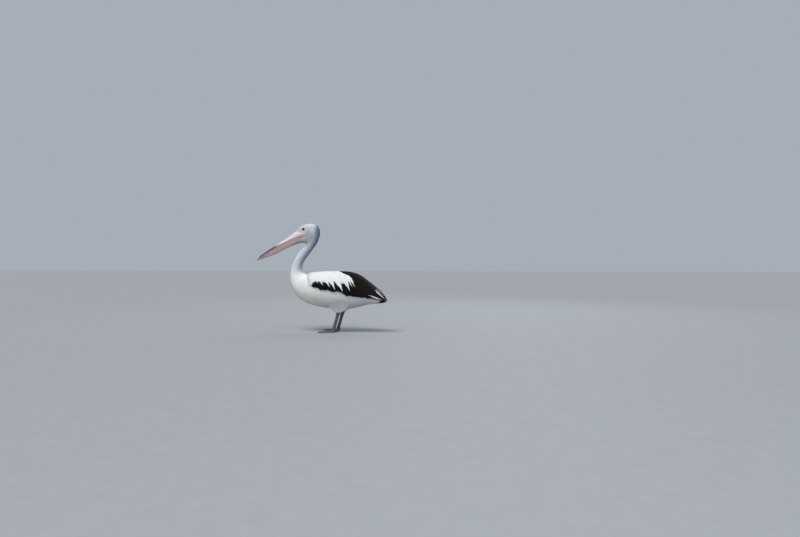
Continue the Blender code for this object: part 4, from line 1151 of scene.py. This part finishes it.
# Sizes of the small feathers by place along the body, and along a thigh.
SIZE_PLACES = (0, 2, 5, 9, 12, 15, 18, 22, 30)
FEATHER_LENGTHS = (0.0048, 0.0066, 0.0088, 0.0110, 0.0128, 0.0155, 0.0195, 0.0235, 0.0280)
FEATHER_HALF_WIDTHS = (0.0007, 0.0009, 0.0012, 0.0015, 0.0018, 0.0023, 0.0029, 0.0035, 0.0041)
THIGH_SIZE_PLACES = (0, 5, 7)
THIGH_FEATHER_LENGTHS, THIGH_FEATHER_HALF_WIDTHS = (0.024, 0.014, 0.007), (0.0046, 0.0026, 0.0014)
# Height of a small feather's shaft as a share of its half width, and how soon the vane lifts.
SHAFT_SHARE, SOFT_RISE = 0.05, 0.35
# Stretches of the body coat: first and last place, spacing, form.
BODY_COATS = (
    ("face_feathers", 0.0, 4.0, 0.0017, TINY),
    ("head_feathers", 4.0, 9.0, 0.0021, TINY),
    ("neck_feathers", 9.0, 14.0, 0.0026, CONTOUR),
    ("neck_base_feathers", 14.0, 18.0, 0.0033, CONTOUR),
    ("breast_feathers", 18.0, 23.0, 0.0041, CONTOUR),
    ("belly_feathers", 23.0, 27.0, 0.0046, CONTOUR),
    ("rump_feathers", 27.0, 31.8, 0.0046, CONTOUR),
)
# Only stretches that begin before this place come near the bill, the eyes or the pouch.
FACE_REACH = 10


def body_coat(name, start, end, spacing, form, chance):
    """The small feathers of one stretch of the body, where nothing hides them."""
    a, b = spread(body_point, (start, end), (-np.pi, np.pi), spacing)
    paces = pace(body_point, a, b)
    count = len(a)
    a = a + chance.normal(0, 0.16, count) * spacing / paces[0]
    b = b + chance.normal(0, 0.16, count) * spacing / paces[1]
    length = np.interp(a, SIZE_PLACES, FEATHER_LENGTHS) * chance.uniform(0.82, 1.16, count)
    width = np.interp(a, SIZE_PLACES, FEATHER_HALF_WIDTHS) * chance.uniform(0.85, 1.15, count)
    end_a, end_b = ends(a, b, length, chance.normal(0, 0.11, count), paces)
    depth = coat_depth(a)
    feathers = Feathers(
        chance,
        np.minimum(a, BODY_END - 0.2),
        b,
        np.minimum(end_a, BODY_END + 0.6),
        end_b,
        width,
        -depth - 0.0004,
        depth * chance.uniform(-0.10, 0.08, count),
        width * SHAFT_SHARE + 0.00006,
        chance.normal(0, 0.025, count),
        width * chance.normal(0, 0.25, count),
    )
    roots = body_point(a, b, -depth)
    hidden = under_wing(roots) | in_thigh(roots)
    if start < FACE_REACH:
        hidden |= hidden_by_bill(roots, 0.0008)
        hidden |= inside_outline(BARE_FACE, roots[:, 1], roots[:, 2])
        hidden |= bare_eye(roots) > 0.5
    feathers.keep(~hidden)
    built = vanes(body_point, feathers, form, LIGHT, SOFT_RISE)
    return coat(name, built, feathers, form, LIGHT, skin_place(feathers.a, feathers.b), WHITE)


def thigh_coat(name, sign, chance):
    """The small feathers of a thigh, below the line where it leaves the flank."""
    surface = leg_surface(THIGH_RIBS, sign)
    last = len(THIGH_RIBS) - 1
    a, b = spread(surface, (0.3, last), (-np.pi, np.pi), 0.0038)
    paces = pace(surface, a, b)
    count = len(a)
    length = np.interp(a, THIGH_SIZE_PLACES, THIGH_FEATHER_LENGTHS) * chance.uniform(0.85, 1.15, count)
    width = np.interp(a, THIGH_SIZE_PLACES, THIGH_FEATHER_HALF_WIDTHS) * chance.uniform(0.85, 1.15, count)
    heading = chance.normal(0, 0.10, count) - 0.9 * np.sin(b) * np.clip(1 - a / 4.0, 0, 1)
    end_a, end_b = ends(a, b, length, heading, paces)
    feathers = Feathers(
        chance,
        a,
        b,
        np.minimum(end_a, last - 0.03),
        end_b,
        width,
        -THIGH_COAT_DEPTH - 0.0007,
        THIGH_COAT_DEPTH * chance.uniform(-0.15, 0.12, count),
        width * SHAFT_SHARE + 0.00008,
        chance.normal(0, 0.03, count),
        width * chance.normal(0, 0.2, count),
    )
    roots = surface(a, b, -THIGH_COAT_DEPTH)
    row = rows_at(BODY_RIBS, rib_place(roots[:, 1], 20, 2))
    flank = np.abs(roots[:, 0]) / row[:, 4]
    edge_z = row[:, 3] + (row[:, 1] - row[:, 3]) * 0.5 * (1 - np.sqrt(np.clip(1 - flank**2, 0, 1)))
    feathers.keep(roots[:, 2] < edge_z + 0.013)
    corners, facing = vanes(surface, feathers, CONTOUR, LIGHT, SOFT_RISE)
    # The upper ones shade as the belly does, which hides where the thigh begins
    facing[..., 2] -= 0.65 * np.clip(1 - feathers.a / 4.5, 0, 1)[:, None, None]
    facing /= np.linalg.norm(facing, axis=-1, keepdims=True)
    # The thighs take their tone from the low flank of the belly, with its painted shade.
    around = sign * (2.18 - 0.10 * np.minimum(feathers.a, 3) - 0.15 * np.sin(feathers.b) * sign)
    places = skin_place(25.5 + feathers.a * 0.2, around)
    return coat(name, (corners, facing), feathers, CONTOUR, LIGHT, places, WHITE)


# Wings

# Kinds of wing feather: name, form, section, material, height of the shaft and tilt of the outer edge.
PRIMARIES = ("primaries", FLIGHT, FULL, BLACK, 0.0009, 0.04)
TERTIALS = ("tertials", FLIGHT, FULL, BLACK, 0.0009, 0.05)
SECONDARIES = ("secondaries", FLIGHT, FULL, BLACK, 0.0007, 0.07)
SCAPULARS = ("scapulars", SCAPULAR, FULL, BLACK, 0.0006, 0.04)
LONG_WHITES = ("lances", LANCE, FULL, WING_WHITE, 0.0008, 0.05)
COVERTS = ("coverts", COVERT, LIGHT, WING_WHITE, 0.0004, 0.0)
REAR_WHITES = ("rear_lances", LANCE, FULL, WING_WHITE, 0.0007, 0.03)
# Rows of primaries: y of the tips, first and last degrees and how many.
PRIMARY_ROWS = ((0.512, 108, 92, 4), (0.503, 88, 46, 5), (0.492, 44, 14, 4))
# Rows of tertials: the same, and the height of the roots.
TERTIAL_ROWS = ((0.484, 104, 10, 10, 0.0026), (0.452, 106, 9, 11, 0.0030), (0.418, 106, 9, 12, 0.0030))
# Rows of secondaries: degrees up from the wing's edge, shift along y, width and how ragged.
SECONDARY_ROWS = (
    (0, 0.0, 0.021, 2.8),
    (7, 0.006, 0.019, 1.0),
    (14, 0.002, 0.018, 1.0),
    (21, -0.004, 0.018, 1.0),
)
# Lengths of tertials, secondaries and scapulars, the distances between secondaries and between rows of
# scapulars, and y of the primaries' roots.
TERTIAL_LENGTH, SECONDARY_LENGTH, SCAPULAR_LENGTH = 0.088, 0.052, 0.068
SECONDARY_SPACING, SCAPULAR_SPACING, PRIMARY_ROOT_Y = 0.0165, 0.0225, 0.395
# Degrees round to each row of scapulars' first feather, and to its last at each y.
SCAPULARS_FIRST = 4.2
SCAPULARS_REACH = ((0.180, 12), (0.231, 34), (0.281, 50), (0.310, 98), (0.392, 104))
# Rows of long white feathers: steps back from the longest ones, aside, share of the width, height.
LANCE_ROWS = ((0.62, -1.0, 0.62, 0.0044), (0.45, 1.0, 0.62, 0.0047), (0.0, 0.0, 1.0, 0.0053))
# The y at which the sizes of the white coverts are given.
COVERT_PLACES = (-0.09, 0.02, 0.25)


def wing_tier(kind, sign, chance, roots, tips, width, base, rise, root_sink=0.0015, curve=0.75):
    """A tier of wing feathers of one kind from roots to tips, each (y, degrees), over the wing's core."""
    name, form, section, material, shaft, tilt = kind
    roots, tips = np.array(roots, float), np.array(tips, float)
    count = len(roots)
    width = np.broadcast_to(width, count) * chance.uniform(0.92, 1.08, count)
    root_turn, tip_turn = np.radians(roots[:, 1]), np.radians(tips[:, 1])
    root_lift = core_lift(roots[:, 0], root_turn) + base - root_sink
    tip_lift = core_lift(tips[:, 0], tip_turn) + base + rise + chance.uniform(-0.0003, 0.0003, count)
    feathers = Feathers(
        chance,
        roots[:, 0],
        root_turn * sign,
        tips[:, 0],
        tip_turn * sign,
        width / 2,
        root_lift,
        tip_lift,
        shaft,
        tilt * sign,
        width * chance.normal(0, 0.05, count),
    )
    built = vanes(wing_point, feathers, form, section, curve)
    places = skin_place(rib_place(roots[:, 0], 18, 0), root_turn * sign)
    return coat(name, built, feathers, form, section, places, material, material is WING_WHITE)


def lance_step(tips):
    """From root to tip of a long white feather. The lower ones point further down."""
    lower = share(tips[:, 1], 30, 50)
    return np.stack([0.060 - 0.028 * lower, 6 + 17 * lower], -1)


def joined(name, pieces):
    """Makes one object of several, with their maps and attributes."""
    with bpy.context.temp_override(active_object=pieces[0], selected_editable_objects=pieces):
        bpy.ops.object.join()
    pieces[0].name = name
    return pieces[0]


def dress_wing(side, sign, chance):
    """All tiers of one folded wing: the black ones below and behind, the white panel over them."""

    def jitter(pairs, along_y, round_it):
        """Moves each (y, degrees) by a small chance step."""
        count = len(pairs)
        return pairs + np.stack([chance.normal(0, along_y, count), chance.normal(0, round_it, count)], -1)

    def tier(kind, *sizes):
        """A tier on this wing."""
        return wing_tier(kind, sign, chance, *sizes)

    black = []
    # Primaries and tertials, whose long tips lie together over the tail
    for tip_y, first, last, count in PRIMARY_ROWS:
        turn = np.linspace(first, last, count)
        tips = np.stack([np.linspace(tip_y + 0.002, tip_y - 0.008, count), turn], -1)
        roots = np.stack([np.full(count, PRIMARY_ROOT_Y), 28 + turn * 0.66], -1)
        black.append(tier(PRIMARIES, roots, jitter(tips, 0.002, 0.5), 0.026, 0.0010, 0.0022))
    for tip_y, first, last, count, base in TERTIAL_ROWS:
        turn = np.linspace(first, last, count)
        tips = np.stack([tip_y - 0.010 * (1 - turn / 100), turn], -1)
        roots = np.stack([tips[:, 0] - TERTIAL_LENGTH, turn * 0.93], -1)
        black.append(tier(TERTIALS, roots, jitter(tips, 0.0025, 0.6), 0.024, base, 0.0022))
    # Secondaries along the lower edge, and the black coverts that lie over their bases
    for row, (up, shift, width, ragged) in enumerate(SECONDARY_ROWS):
        y = np.arange(-0.014 + shift, 0.404, SECONDARY_SPACING)
        turn = along(WING_LOWER_EDGE, y) + 0.5 - up
        tips = jitter(np.stack([y, turn], -1), 0.0016 * ragged, 0.5 * ragged)
        roots = np.stack([np.maximum(y - SECONDARY_LENGTH, -0.040), turn - 15], -1)
        keep = ~inside_outline(WHITE_AREA, tips[:, 0] - 0.006, tips[:, 1] - 2)
        base = 0.0006 + 0.0006 * row
        black.append(tier(SECONDARIES, roots[keep], tips[keep], width, base, 0.0020))
    # Scapulars from the back down to the wing's rear, each row over the one behind it
    for k, y in enumerate(np.arange(0.392, 0.188, -SCAPULAR_SPACING)):
        last = along(SCAPULARS_REACH, y)
        count = int(last / 8) + 1
        turn = np.linspace(SCAPULARS_FIRST, last, count)
        tips = np.stack([y + 0.006 * ((np.arange(count) + k) % 2), turn], -1)
        roots = np.stack([tips[:, 0] - SCAPULAR_LENGTH, turn * 0.93], -1)
        black.append(tier(SCAPULARS, roots, jitter(tips, 0.0035, 0.9), 0.022, 0.0036, 0.0018))

    white = []
    # Long white feathers over the black, the longest over the shorter ones between them
    longest = np.array(LANCE_TIPS, float)
    far, width = longest[:, :2], longest[:, 2]
    step = lance_step(far)
    beside = np.array([0.43, -110]) * width[:, None]
    for back, aside, narrow, base in LANCE_ROWS:
        tips = jitter(far - step * back + beside * aside, 0.0012, 0.4)
        roots = tips - step * (1.40 - 0.5 * back)
        white.append(tier(LONG_WHITES, roots, tips, width * narrow, base, 0.0016))
    # White coverts over the rest of the panel and on the back
    y, turn = spread(wing_point, (-0.100, 0.285), (math.radians(3), math.radians(92)), 0.0050, 0.37)
    degrees = np.degrees(turn)
    front = wing_front(degrees)
    tips = jitter(np.stack([y, degrees], -1), 0.0012, 0.5)
    scale = np.interp(y, COVERT_PLACES, (0.55, 0.75, 0.90)) * chance.uniform(0.85, 1.15, len(y))
    scale = scale * np.clip((y - front) / 0.060, 0.28, 1)
    roots = tips - lance_step(tips) * scale[:, None]
    keep = inside_outline(WHITE_AREA, tips[:, 0], tips[:, 1]) & (y > front + 0.006)
    keep &= degrees < along(WING_LOWER_EDGE, y) - 1
    roots, tips = roots[keep], tips[keep]
    width = np.interp(tips[:, 0], COVERT_PLACES, (0.0064, 0.0084, 0.0096))
    white.append(tier(COVERTS, roots, tips, width, 0.0046, 0.0010, 0.0032))
    # White feathers between the black tips at the rear, their roots deep under the black ones
    tips = np.array(REAR_LANCE_TIPS, float)
    roots = tips - np.stack([np.full(len(tips), 0.092), np.interp(tips[:, 1], (75, 95), (22, 7))], -1)
    white.append(tier(REAR_WHITES, roots, jitter(tips, 0.002, 0.5), 0.0052, 0.0060, 0.0018, 0.0085, 0.30))
    show(joined(f"wing_{side}_black", black), "black_feathers", "wing_" + side)
    show(joined(f"wing_{side}_white", white), "white_plumage")


# Tail, crest, bill, eyes and legs

CREST_FEATHERS = 120
# The crest's lengths and how high its tips stand, by place along the head.
CREST_PLACES = (5.0, 6.5, 8.0, 10.5)
CREST_LENGTHS, CREST_STANDS = (0.016, 0.026, 0.024, 0.014), (0.0016, 0.0042, 0.0038, 0.0012)
UP = np.array([0, 0, 1])
# Stations along a toe, where it swells at each knuckle and how high it is there.
TOE_STATIONS = (0, 0.16, 0.34, 0.47, 0.62, 0.74, 0.86, 1.0)
TOE_SWELLS = (1.35, 1.10, 1.18, 0.95, 1.10, 0.88, 1.02, 0.60)
TOE_HEIGHTS = (1.5, 1.15, 1.10, 0.90, 0.95, 0.80, 0.82, 0.55)
# How far out along the toes the webs' corners lie.
WEB_REACH = 0.93


def flat_surface(a, b, lift):
    """Plain space for feathers that don't lie on a form: x, y and height."""
    a, b, lift = np.broadcast_arrays(a, b, lift)
    return np.stack([b, a, lift], -1)


def dress_tail(chance):
    """The tail's fan, with white coverts at its root."""
    across = np.linspace(-1, 1, TAIL_FEATHERS)
    arch = 0.0022 * (1 - np.abs(across))
    turn = TAIL_SPREAD * across
    length = (TAIL_TIP_Y - TAIL_ROOT_Y) * (1 - 0.12 * across**2) * chance.uniform(0.993, 1.0, TAIL_FEATHERS)
    root_z = TAIL_ROOT_Z - 0.006 * across**2 + arch
    tip_z = TAIL_TIP_Z - 0.011 * across**2 + arch
    root_x = TAIL_ROOT_HALF_WIDTH * across
    feathers = Feathers(
        chance,
        np.full(TAIL_FEATHERS, TAIL_ROOT_Y),
        root_x,
        TAIL_ROOT_Y + length * np.cos(turn),
        root_x + length * np.sin(turn),
        0.0078,
        root_z,
        tip_z,
        0.0006,
        -0.05 * np.sign(across),
    )
    built = vanes(flat_surface, feathers, FLIGHT, FULL)
    places = skin_place(np.full(TAIL_FEATHERS, 31.0), across * 2.5)
    fan = coat("tail_fan", built, feathers, FLIGHT, FULL, places, TAIL_BLACK, False)
    show(fan, "black_feathers", "tail")

    a, b = spread(body_point, (28.2, 31.6), (-np.pi, np.pi), 0.0075, 0.11)
    count = len(a)
    end_a = a + chance.uniform(0.030, 0.044, count) / pace(body_point, a, b)[0]
    coverts = Feathers(
        chance,
        a,
        b,
        end_a,
        b,
        0.0062 * chance.uniform(0.85, 1.15, count),
        -0.0050,
        -0.0010 + 0.0012 * chance.random(count),
        0.0008,
        chance.normal(0, 0.05, count),
    )
    coverts.end_a = np.minimum(end_a, BODY_END + 1.2 + 0.6 * chance.random(count))
    coverts.keep(~under_wing(body_point(a, b, -0.003), 2.0))
    built = vanes(body_point, coverts, LANCE, LIGHT, 0.5)
    places = skin_place(coverts.a, coverts.b)
    show(coat("tail_coverts", built, coverts, LANCE, LIGHT, places, WHITE), "white_plumage")


def dress_crest(chance):
    """Loose, narrow grey feathers from the back of the crown down the nape."""
    count = CREST_FEATHERS
    a = np.sort(chance.uniform(CREST_PLACES[0], CREST_PLACES[-1], count))
    b = chance.normal(0, 0.30, count)
    length = np.interp(a, CREST_PLACES, CREST_LENGTHS) * chance.uniform(0.7, 1.15, count)
    end_a, end_b = ends(a, b, length, chance.normal(0, 0.20, count), pace(body_point, a, b))
    stand = np.interp(a, CREST_PLACES, CREST_STANDS) * chance.uniform(0.3, 1.2, count)
    feathers = Feathers(
        chance,
        a,
        b,
        end_a,
        end_b,
        chance.uniform(0.0011, 0.0019, count),
        -0.0030,
        stand,
        0.0004,
        chance.normal(0, 0.1, count),
        chance.normal(0, 0.0008, count),
    )
    built = vanes(body_point, feathers, LANCE, LIGHT)
    crest = coat("nape_crest", built, feathers, LANCE, LIGHT, skin_place(a, b), CREST_GREY)
    show(crest, "white_plumage")


def make_upper_bill():
    """The long upper bill: a ridge along its top, a groove each side of it, and slit nostrils."""
    place, turn = ring_grid(len(BILL_RIBS) - 1, 260, 96)
    aside = np.abs(turn)
    bill = ribbed(BILL_RIBS)
    ridge = 0.0014 * bell(turn, 0, 0.22) * share(place, 0.6, 0.6) * np.clip(9.2 - place, 0, 1)
    groove = 0.0007 * bell(aside, 0.52, 0.10) * share(place, 1.5, 1.0)
    lip = 0.0005 * bell(aside, 1.75, 0.16)
    root = 0.0003 + 0.0018 * np.exp(-place / 0.06)
    y = bill(place, turn, 0.0)[..., 1]
    away = ((y - NOSTRIL_Y) / 0.0065) ** 2 + ((aside - NOSTRIL_TURN) / 0.09) ** 2
    slit = 0.0016 * np.exp(-away * 1.6)
    thing = grid_mesh("upper_bill", bill(place, turn, ridge - groove + lip - slit - root), BILL_HORN)
    mouth = 0.60 * bell(aside, 1.95, 0.30)
    rear_spot = 0.5 * bell(y, -0.1515, 0.0050) * bell(aside, NOSTRIL_TURN, 0.10)
    set_values(thing.data, "dark_line", np.clip(mouth + 0.9 * np.exp(-away * 2.0) + rear_spot, 0, 0.92))
    set_values(thing.data, "pale_top", np.clip(1.25 - aside, 0, 1) * np.ones_like(place))
    show(thing, "bill_horn", "bill_upper")


def make_nail():
    """The hooked yellow nail at the tip."""
    place, turn = ring_grid(len(NAIL_RIBS) - 1, 60, 48)
    ridge = 0.0006 * bell(turn, 0, 0.3) * np.clip(2.6 - place, 0, 1)
    nail = grid_mesh("nail", ribbed(NAIL_RIBS)(place, turn, ridge), NAIL_HORN)
    show(nail, "bill_nail_horn", "bill_nail")


def make_jaw():
    """The lower jaw's flexible bone under its skin, from the gape to the tip."""
    place, turn = ring_grid(len(JAW_RIBS) - 1, 200, 56)
    aside = np.abs(turn)
    fold = 0.0004 * bell(aside, 1.5, 0.18) + 0.0030 * np.exp(-place / 0.10)
    keel = 0.0030 * np.clip(-np.cos(turn), 0, 1) ** 2
    points = ribbed(JAW_RIBS)(place, turn, keel - fold)
    thing = grid_mesh("lower_jaw", points, JAW_HORN)
    set_values(thing.data, "dark_line", 0.45 * bell(aside, 0.80, 0.34) * np.ones_like(place))
    set_values(thing.data, "pale_top", 0.9 * bell(points[..., 1], -0.255, 0.065))
    show(thing, "bill_horn", "bill_lower")


def make_pouch():
    """The folded pouch: long creases that run to the tip and cross wrinkles near the throat."""
    place, turn = ring_grid(len(POUCH_RIBS) - 1, 300, 150)
    aside = np.abs(turn)
    wander = 0.35 * np.sin(place * 1.7) + 0.2 * np.sin(place * 3.1 + 1)
    under = share(aside, 1.1, 0.6)
    long_folds = 1 - np.abs(np.sin((aside + 0.05 * wander) * 8.0 + wander)) ** 0.6
    wrinkles = np.sin(place * 26 + 2.2 * np.sin(turn * 3) + 1.3 * np.sin(place * 5))
    wrinkles = wrinkles * np.clip(1.6 - place * 0.5, 0, 1)
    depth = (0.0011 * long_folds + 0.00022 * wrinkles) * under + 0.0040 * np.exp(-place / 0.10)
    thing = grid_mesh("throat_pouch", ribbed(POUCH_RIBS)(place, turn, -depth), POUCH)
    set_values(thing.data, "underneath", aside / np.pi * np.ones_like(place))
    show(thing, "pouch_skin", "pouch")


def eye_frame(sign):
    """Where an eye sits and which way it looks."""
    place = Vector((sign * EYE_PLACE[0], *EYE_PLACE[1:]))
    out = Vector((sign * EYE_OUTWARD[0], *EYE_OUTWARD[1:])).normalized()
    return Matrix.Translation(place) @ out.to_track_quat("Z", "Y").to_matrix().to_4x4()


def ball_rings(polar, turn):
    """Points of a ball of radius 1, in rings round its axis."""
    around = np.stack([np.sin(polar) * np.cos(turn), np.sin(polar) * np.sin(turn)], -1)
    return np.concatenate([around, np.broadcast_to(np.cos(polar), around.shape[:2])[..., None]], -1)


def make_eye(side, sign):
    """A wet eyeball with its cornea."""
    polar = np.linspace(0.001, np.pi - 0.001, 40)[:, None]
    turn = np.linspace(0, -2 * np.pi, 48, endpoint=False)[None, :]
    radius = EYE_RADIUS * (0.98 + 0.035 * bell(polar, 0, 0.55))
    ball = grid_mesh("eyeball_" + side, (radius[..., None] * ball_rings(polar, turn))[::-1], EYE_GLOSS)
    set_values(ball.data, "gaze", (np.cos(polar) * np.ones_like(turn))[::-1])
    ball.data.transform(eye_frame(sign))
    show(ball, "eye_gloss", "eye_" + side)


def make_lids(side, sign):
    """The wrinkled ring of an eye's lids."""
    across = np.linspace(0, 1, 15)[None, :]
    turn = np.linspace(0, 2 * np.pi, 96, endpoint=False)[:, None]
    sine = np.sin(turn)
    inner = 0.0088 - 0.0005 * np.clip(sine, 0, 1) + 0.0007 * np.cos(2 * turn)
    outer = 0.0126 + 0.0004 * np.sin(turn * 2) + 0.0008 * np.clip(-sine, 0, 1)
    radius = inner + (outer - inner) * across
    height = np.sqrt(np.maximum((EYE_RADIUS + 0.0004) ** 2 - inner**2, 0))
    height = height + 0.0012 * np.sin(np.pi * np.minimum(across * 2.2, 1)) - 0.0048 * across**1.7
    height = height - 0.00030 * np.sin(across * 22) * np.sin(np.pi * across)
    height = height - 0.00048 * np.sin(turn * 24) * across * (1 - across)
    rim = np.stack([radius * np.cos(turn), radius * sine, height], -1)
    low = rim - 0.0016 * UP
    ring = np.concatenate([rim, low[:, ::-1]], axis=1)
    lids = grid_mesh("eyelids_" + side, np.concatenate([ring, ring[:1]]), LID_SKIN, caps=False)
    margin = np.clip((0.40 + 0.24 * np.abs(np.cos(turn)) - across) / 0.12, 0, 1)
    margin = np.concatenate([margin, margin[:, ::-1]], axis=1)
    set_values(lids.data, "margin", np.concatenate([margin, margin[:1]]))
    lids.data.transform(eye_frame(sign))
    show(lids, "white_plumage")


def make_shank(side, sign):
    """The bare leg, with rows of scutes down its front and finer scales behind."""
    place, turn = ring_grid(len(SHANK_RIBS) - 1, 200, 60)
    front = np.clip(-np.cos(turn), 0, 1) ** 0.7
    scutes = np.abs(np.sin(place * 9.5 + 0.25 * np.cos(turn * 2))) ** 0.5 - 1
    tendon = 0.0006 * bell(np.abs(turn), 1.15, 0.22) * np.sin(np.pi * place / 7)
    points = leg_surface(SHANK_RIBS, sign)(place, turn, 0.00055 * scutes * front - tendon)
    show(grid_mesh("bare_leg_" + side, points, LEG_SKIN), "leg_skin", "shank_" + side)


def toe_heading(degrees):
    """The way a left toe points."""
    angle = math.radians(degrees - FOOT_TURN)
    return np.array([-math.sin(angle), -math.cos(angle), 0])


def heel_point():
    """The point on the floor where the left toes meet."""
    return np.array([LEG_X, HEEL[0], 0])


def toe_rings(middle, heading, half_width, half_height, turn):
    """Rings of points round a line that runs along a toe."""
    across = np.cross(heading, UP) * (half_width * np.cos(turn))[..., None]
    return middle + across + UP * (half_height * np.sin(turn))[..., None]


def make_toe(length, degrees, half_width):
    """One knuckled toe with scutes on its top."""
    u = np.linspace(0, 1, 90)[:, None]
    turn = np.linspace(0, 2 * np.pi, 28, endpoint=False)[None, :]
    heading = toe_heading(degrees)
    swell = np.interp(u, TOE_STATIONS, TOE_SWELLS)
    height = np.interp(u, TOE_STATIONS, TOE_HEIGHTS)
    scute = 1 + 0.055 * (np.abs(np.sin(u * length * 900)) ** 0.5 - 1) * np.clip(np.sin(turn), 0, 1)
    middle = heel_point() + heading * (length * u)[..., None] + UP * (half_width * height * 0.75)[..., None]
    points = toe_rings(middle, heading, half_width * swell * scute, half_width * height * scute, turn)
    return grid_mesh("toe", points, LEG_SKIN)


def make_web(first, second):
    """The thin web between two toes, its free edge drawn in a little."""
    heel = heel_point()
    tip_a, tip_b = (heel + toe_heading(toe[1]) * toe[0] * WEB_REACH for toe in (first, second))
    t = np.linspace(0, 1, 30)[:, None]
    edge = heel + (tip_a + (tip_b - tip_a) * t - heel) * (1 - 0.14 * np.sin(np.pi * t))
    s = np.linspace(0, 1, 24)[None, :, None]
    sheet = heel + (edge[:, None] - heel) * s
    top = sheet + UP * (0.0020 + 0.0004 * np.sin(t[:, :, None] * 40) * s)
    low = sheet - UP * 0.0006
    return grid_mesh("web", np.concatenate([top, low[:, ::-1]], axis=1), LEG_SKIN)


def make_heel(name):
    """The round heel on which the toes meet."""
    polar = np.linspace(0.01, np.pi - 0.01, 24)[:, None]
    turn = np.linspace(0, 2 * np.pi, 32, endpoint=False)[None, :]
    points = ball_rings(polar, turn) * np.array(HEEL_HALF_SIZES) + heel_point() + UP * HEEL[1]
    return grid_mesh(name, points, LEG_SKIN)


def make_foot(side, sign):
    """The webbed foot in one piece. It is made for the left side and mirrored for the right."""
    name = "webbed_foot_" + side
    pieces = [make_toe(*toe) for toe in TOES]
    pieces += [make_web(first, second) for first, second in zip(TOES, TOES[1:])]
    pieces.insert(0, make_heel(name))
    for piece in pieces:
        applied(piece, "WELD", merge_threshold=0.00001)
    foot = joined(name, pieces)
    applied(foot, "REMESH", mode="VOXEL", voxel_size=0.00085)
    points = read_points(foot.data)
    points[:, 2] = np.maximum(points[:, 2], 0.0)
    points[:, 0] *= sign
    if sign < 0:
        foot.data.flip_normals()
    move_points(foot.data, points)
    foot.data.shade_smooth()
    show(foot, "leg_skin", "foot_" + side)


def make_claw(side, sign, number, toe):
    """A small curved horn claw on a toe's end."""
    length, degrees, _ = toe
    heading = toe_heading(degrees)
    u = np.linspace(-0.25, 1, 30)[:, None]
    turn = np.linspace(0, 2 * np.pi, 20, endpoint=False)[None, :]
    size = np.interp(u, (-0.25, 0.30, 0.75, 1.0), (1.0, 0.90, 0.50, 0.08))
    middle = heel_point() + heading * length + heading * (0.013 * u)[..., None]
    middle = middle + UP * (0.0045 - 0.0032 * u**2)[..., None]
    points = toe_rings(middle, heading, 0.0026 * size, 0.0030 * size, turn) * np.array([sign, 1, 1])
    name = f"{side}_{number}"
    claw = grid_mesh("claw_horn_" + name, points if sign < 0 else points[:, ::-1], CLAW_HORN)
    show(claw, "claw_horn", "claw_" + name)


# Stage

LIGHTS_AIM = Vector((0, 0.05, 0.4))


def make_floor():
    """A pale floor under the bird's feet, far wider than the picture."""
    material, tree = new_material("pale_studio_floor", 0.7)
    grain = noise(tree, object_place(tree), 14.0, 6.0)
    finished(material, mixed(tree, grain, (0.27, 0.285, 0.30), (0.31, 0.325, 0.34)))
    bpy.ops.mesh.primitive_plane_add(size=60)
    floor = bpy.context.object
    floor.name = "studio_floor"
    floor.data.materials.append(material)


def aimed(name, data, place, direction):
    """Puts a light or a camera in its place, turned along a direction."""
    thing = linked(name, data)
    thing.location = place
    thing.rotation_euler = direction.to_track_quat("-Z", "Y").to_euler()
    return thing


def add_light(name, kind, place, power, colour, **settings):
    """A light of a kind in a place, turned towards the bird."""
    light = bpy.data.lights.new(name, kind)
    light.energy = power
    light.color = colour
    for title, value in settings.items():
        setattr(light, title, value)
    aimed(name, light, place, LIGHTS_AIM - Vector(place))


def light_the_studio():
    """A broad sun from the bird's left, a soft light before it and one behind, and a pale sky."""
    add_light("key_light", "SUN", (1.6, -0.9, 4.2), 2.7, (1.0, 0.985, 0.96), angle=math.radians(30))
    add_light("fill_light", "AREA", (4.2, 1.6, 1.8), 14, (0.93, 0.96, 1.0), size=3.0)
    add_light("back_light", "AREA", (-3.0, 1.5, 3.0), 30, (0.95, 0.98, 1.0), size=2.5)
    world = bpy.data.worlds.new("studio_world")
    world.use_nodes = True
    sky = world.node_tree.nodes["Background"].inputs
    sky["Color"].default_value = (0.76, 0.85, 0.96, 1)
    sky["Strength"].default_value = 0.50
    bpy.context.scene.world = world
    bpy.context.scene.view_settings.view_transform = "Standard"


def set_camera():
    """The photo's camera, from the bird's left."""
    camera = bpy.data.cameras.new("photo_camera")
    camera.lens = CAMERA_LENS
    camera.sensor_width = CAMERA_SENSOR
    camera.clip_start = 0.05
    level = math.cos(CAMERA_DROP)
    aim = Vector((CAMERA_HEADING[0] * level, CAMERA_HEADING[1] * level, -math.sin(CAMERA_DROP)))
    bpy.context.scene.camera = aimed("photo_camera", camera, CAMERA_PLACE, aim)


def main():
    """Dresses the bird and sets the stage."""
    chance = np.random.default_rng(20)
    flesh = ("head", "neck_upper", "neck_middle", "neck_lower", "torso", "thigh_left", "thigh_right")
    show(make_skin(), "white_plumage", *flesh)
    for name, start, end, spacing, form in BODY_COATS:
        show(body_coat(name, start, end, spacing, form, chance), "white_plumage")
    make_upper_bill()
    make_nail()
    make_jaw()
    make_pouch()
    dress_crest(chance)
    dress_tail(chance)
    for side, sign in SIDES:
        show(thigh_coat("thigh_feathers_" + side, sign, chance), "white_plumage")
        dress_wing(side, sign, chance)
        make_eye(side, sign)
        make_lids(side, sign)
        make_shank(side, sign)
        make_foot(side, sign)
        for number, toe in enumerate(TOES, 1):
            make_claw(side, sign, number, toe)
    make_floor()
    light_the_studio()
    set_camera()


main()
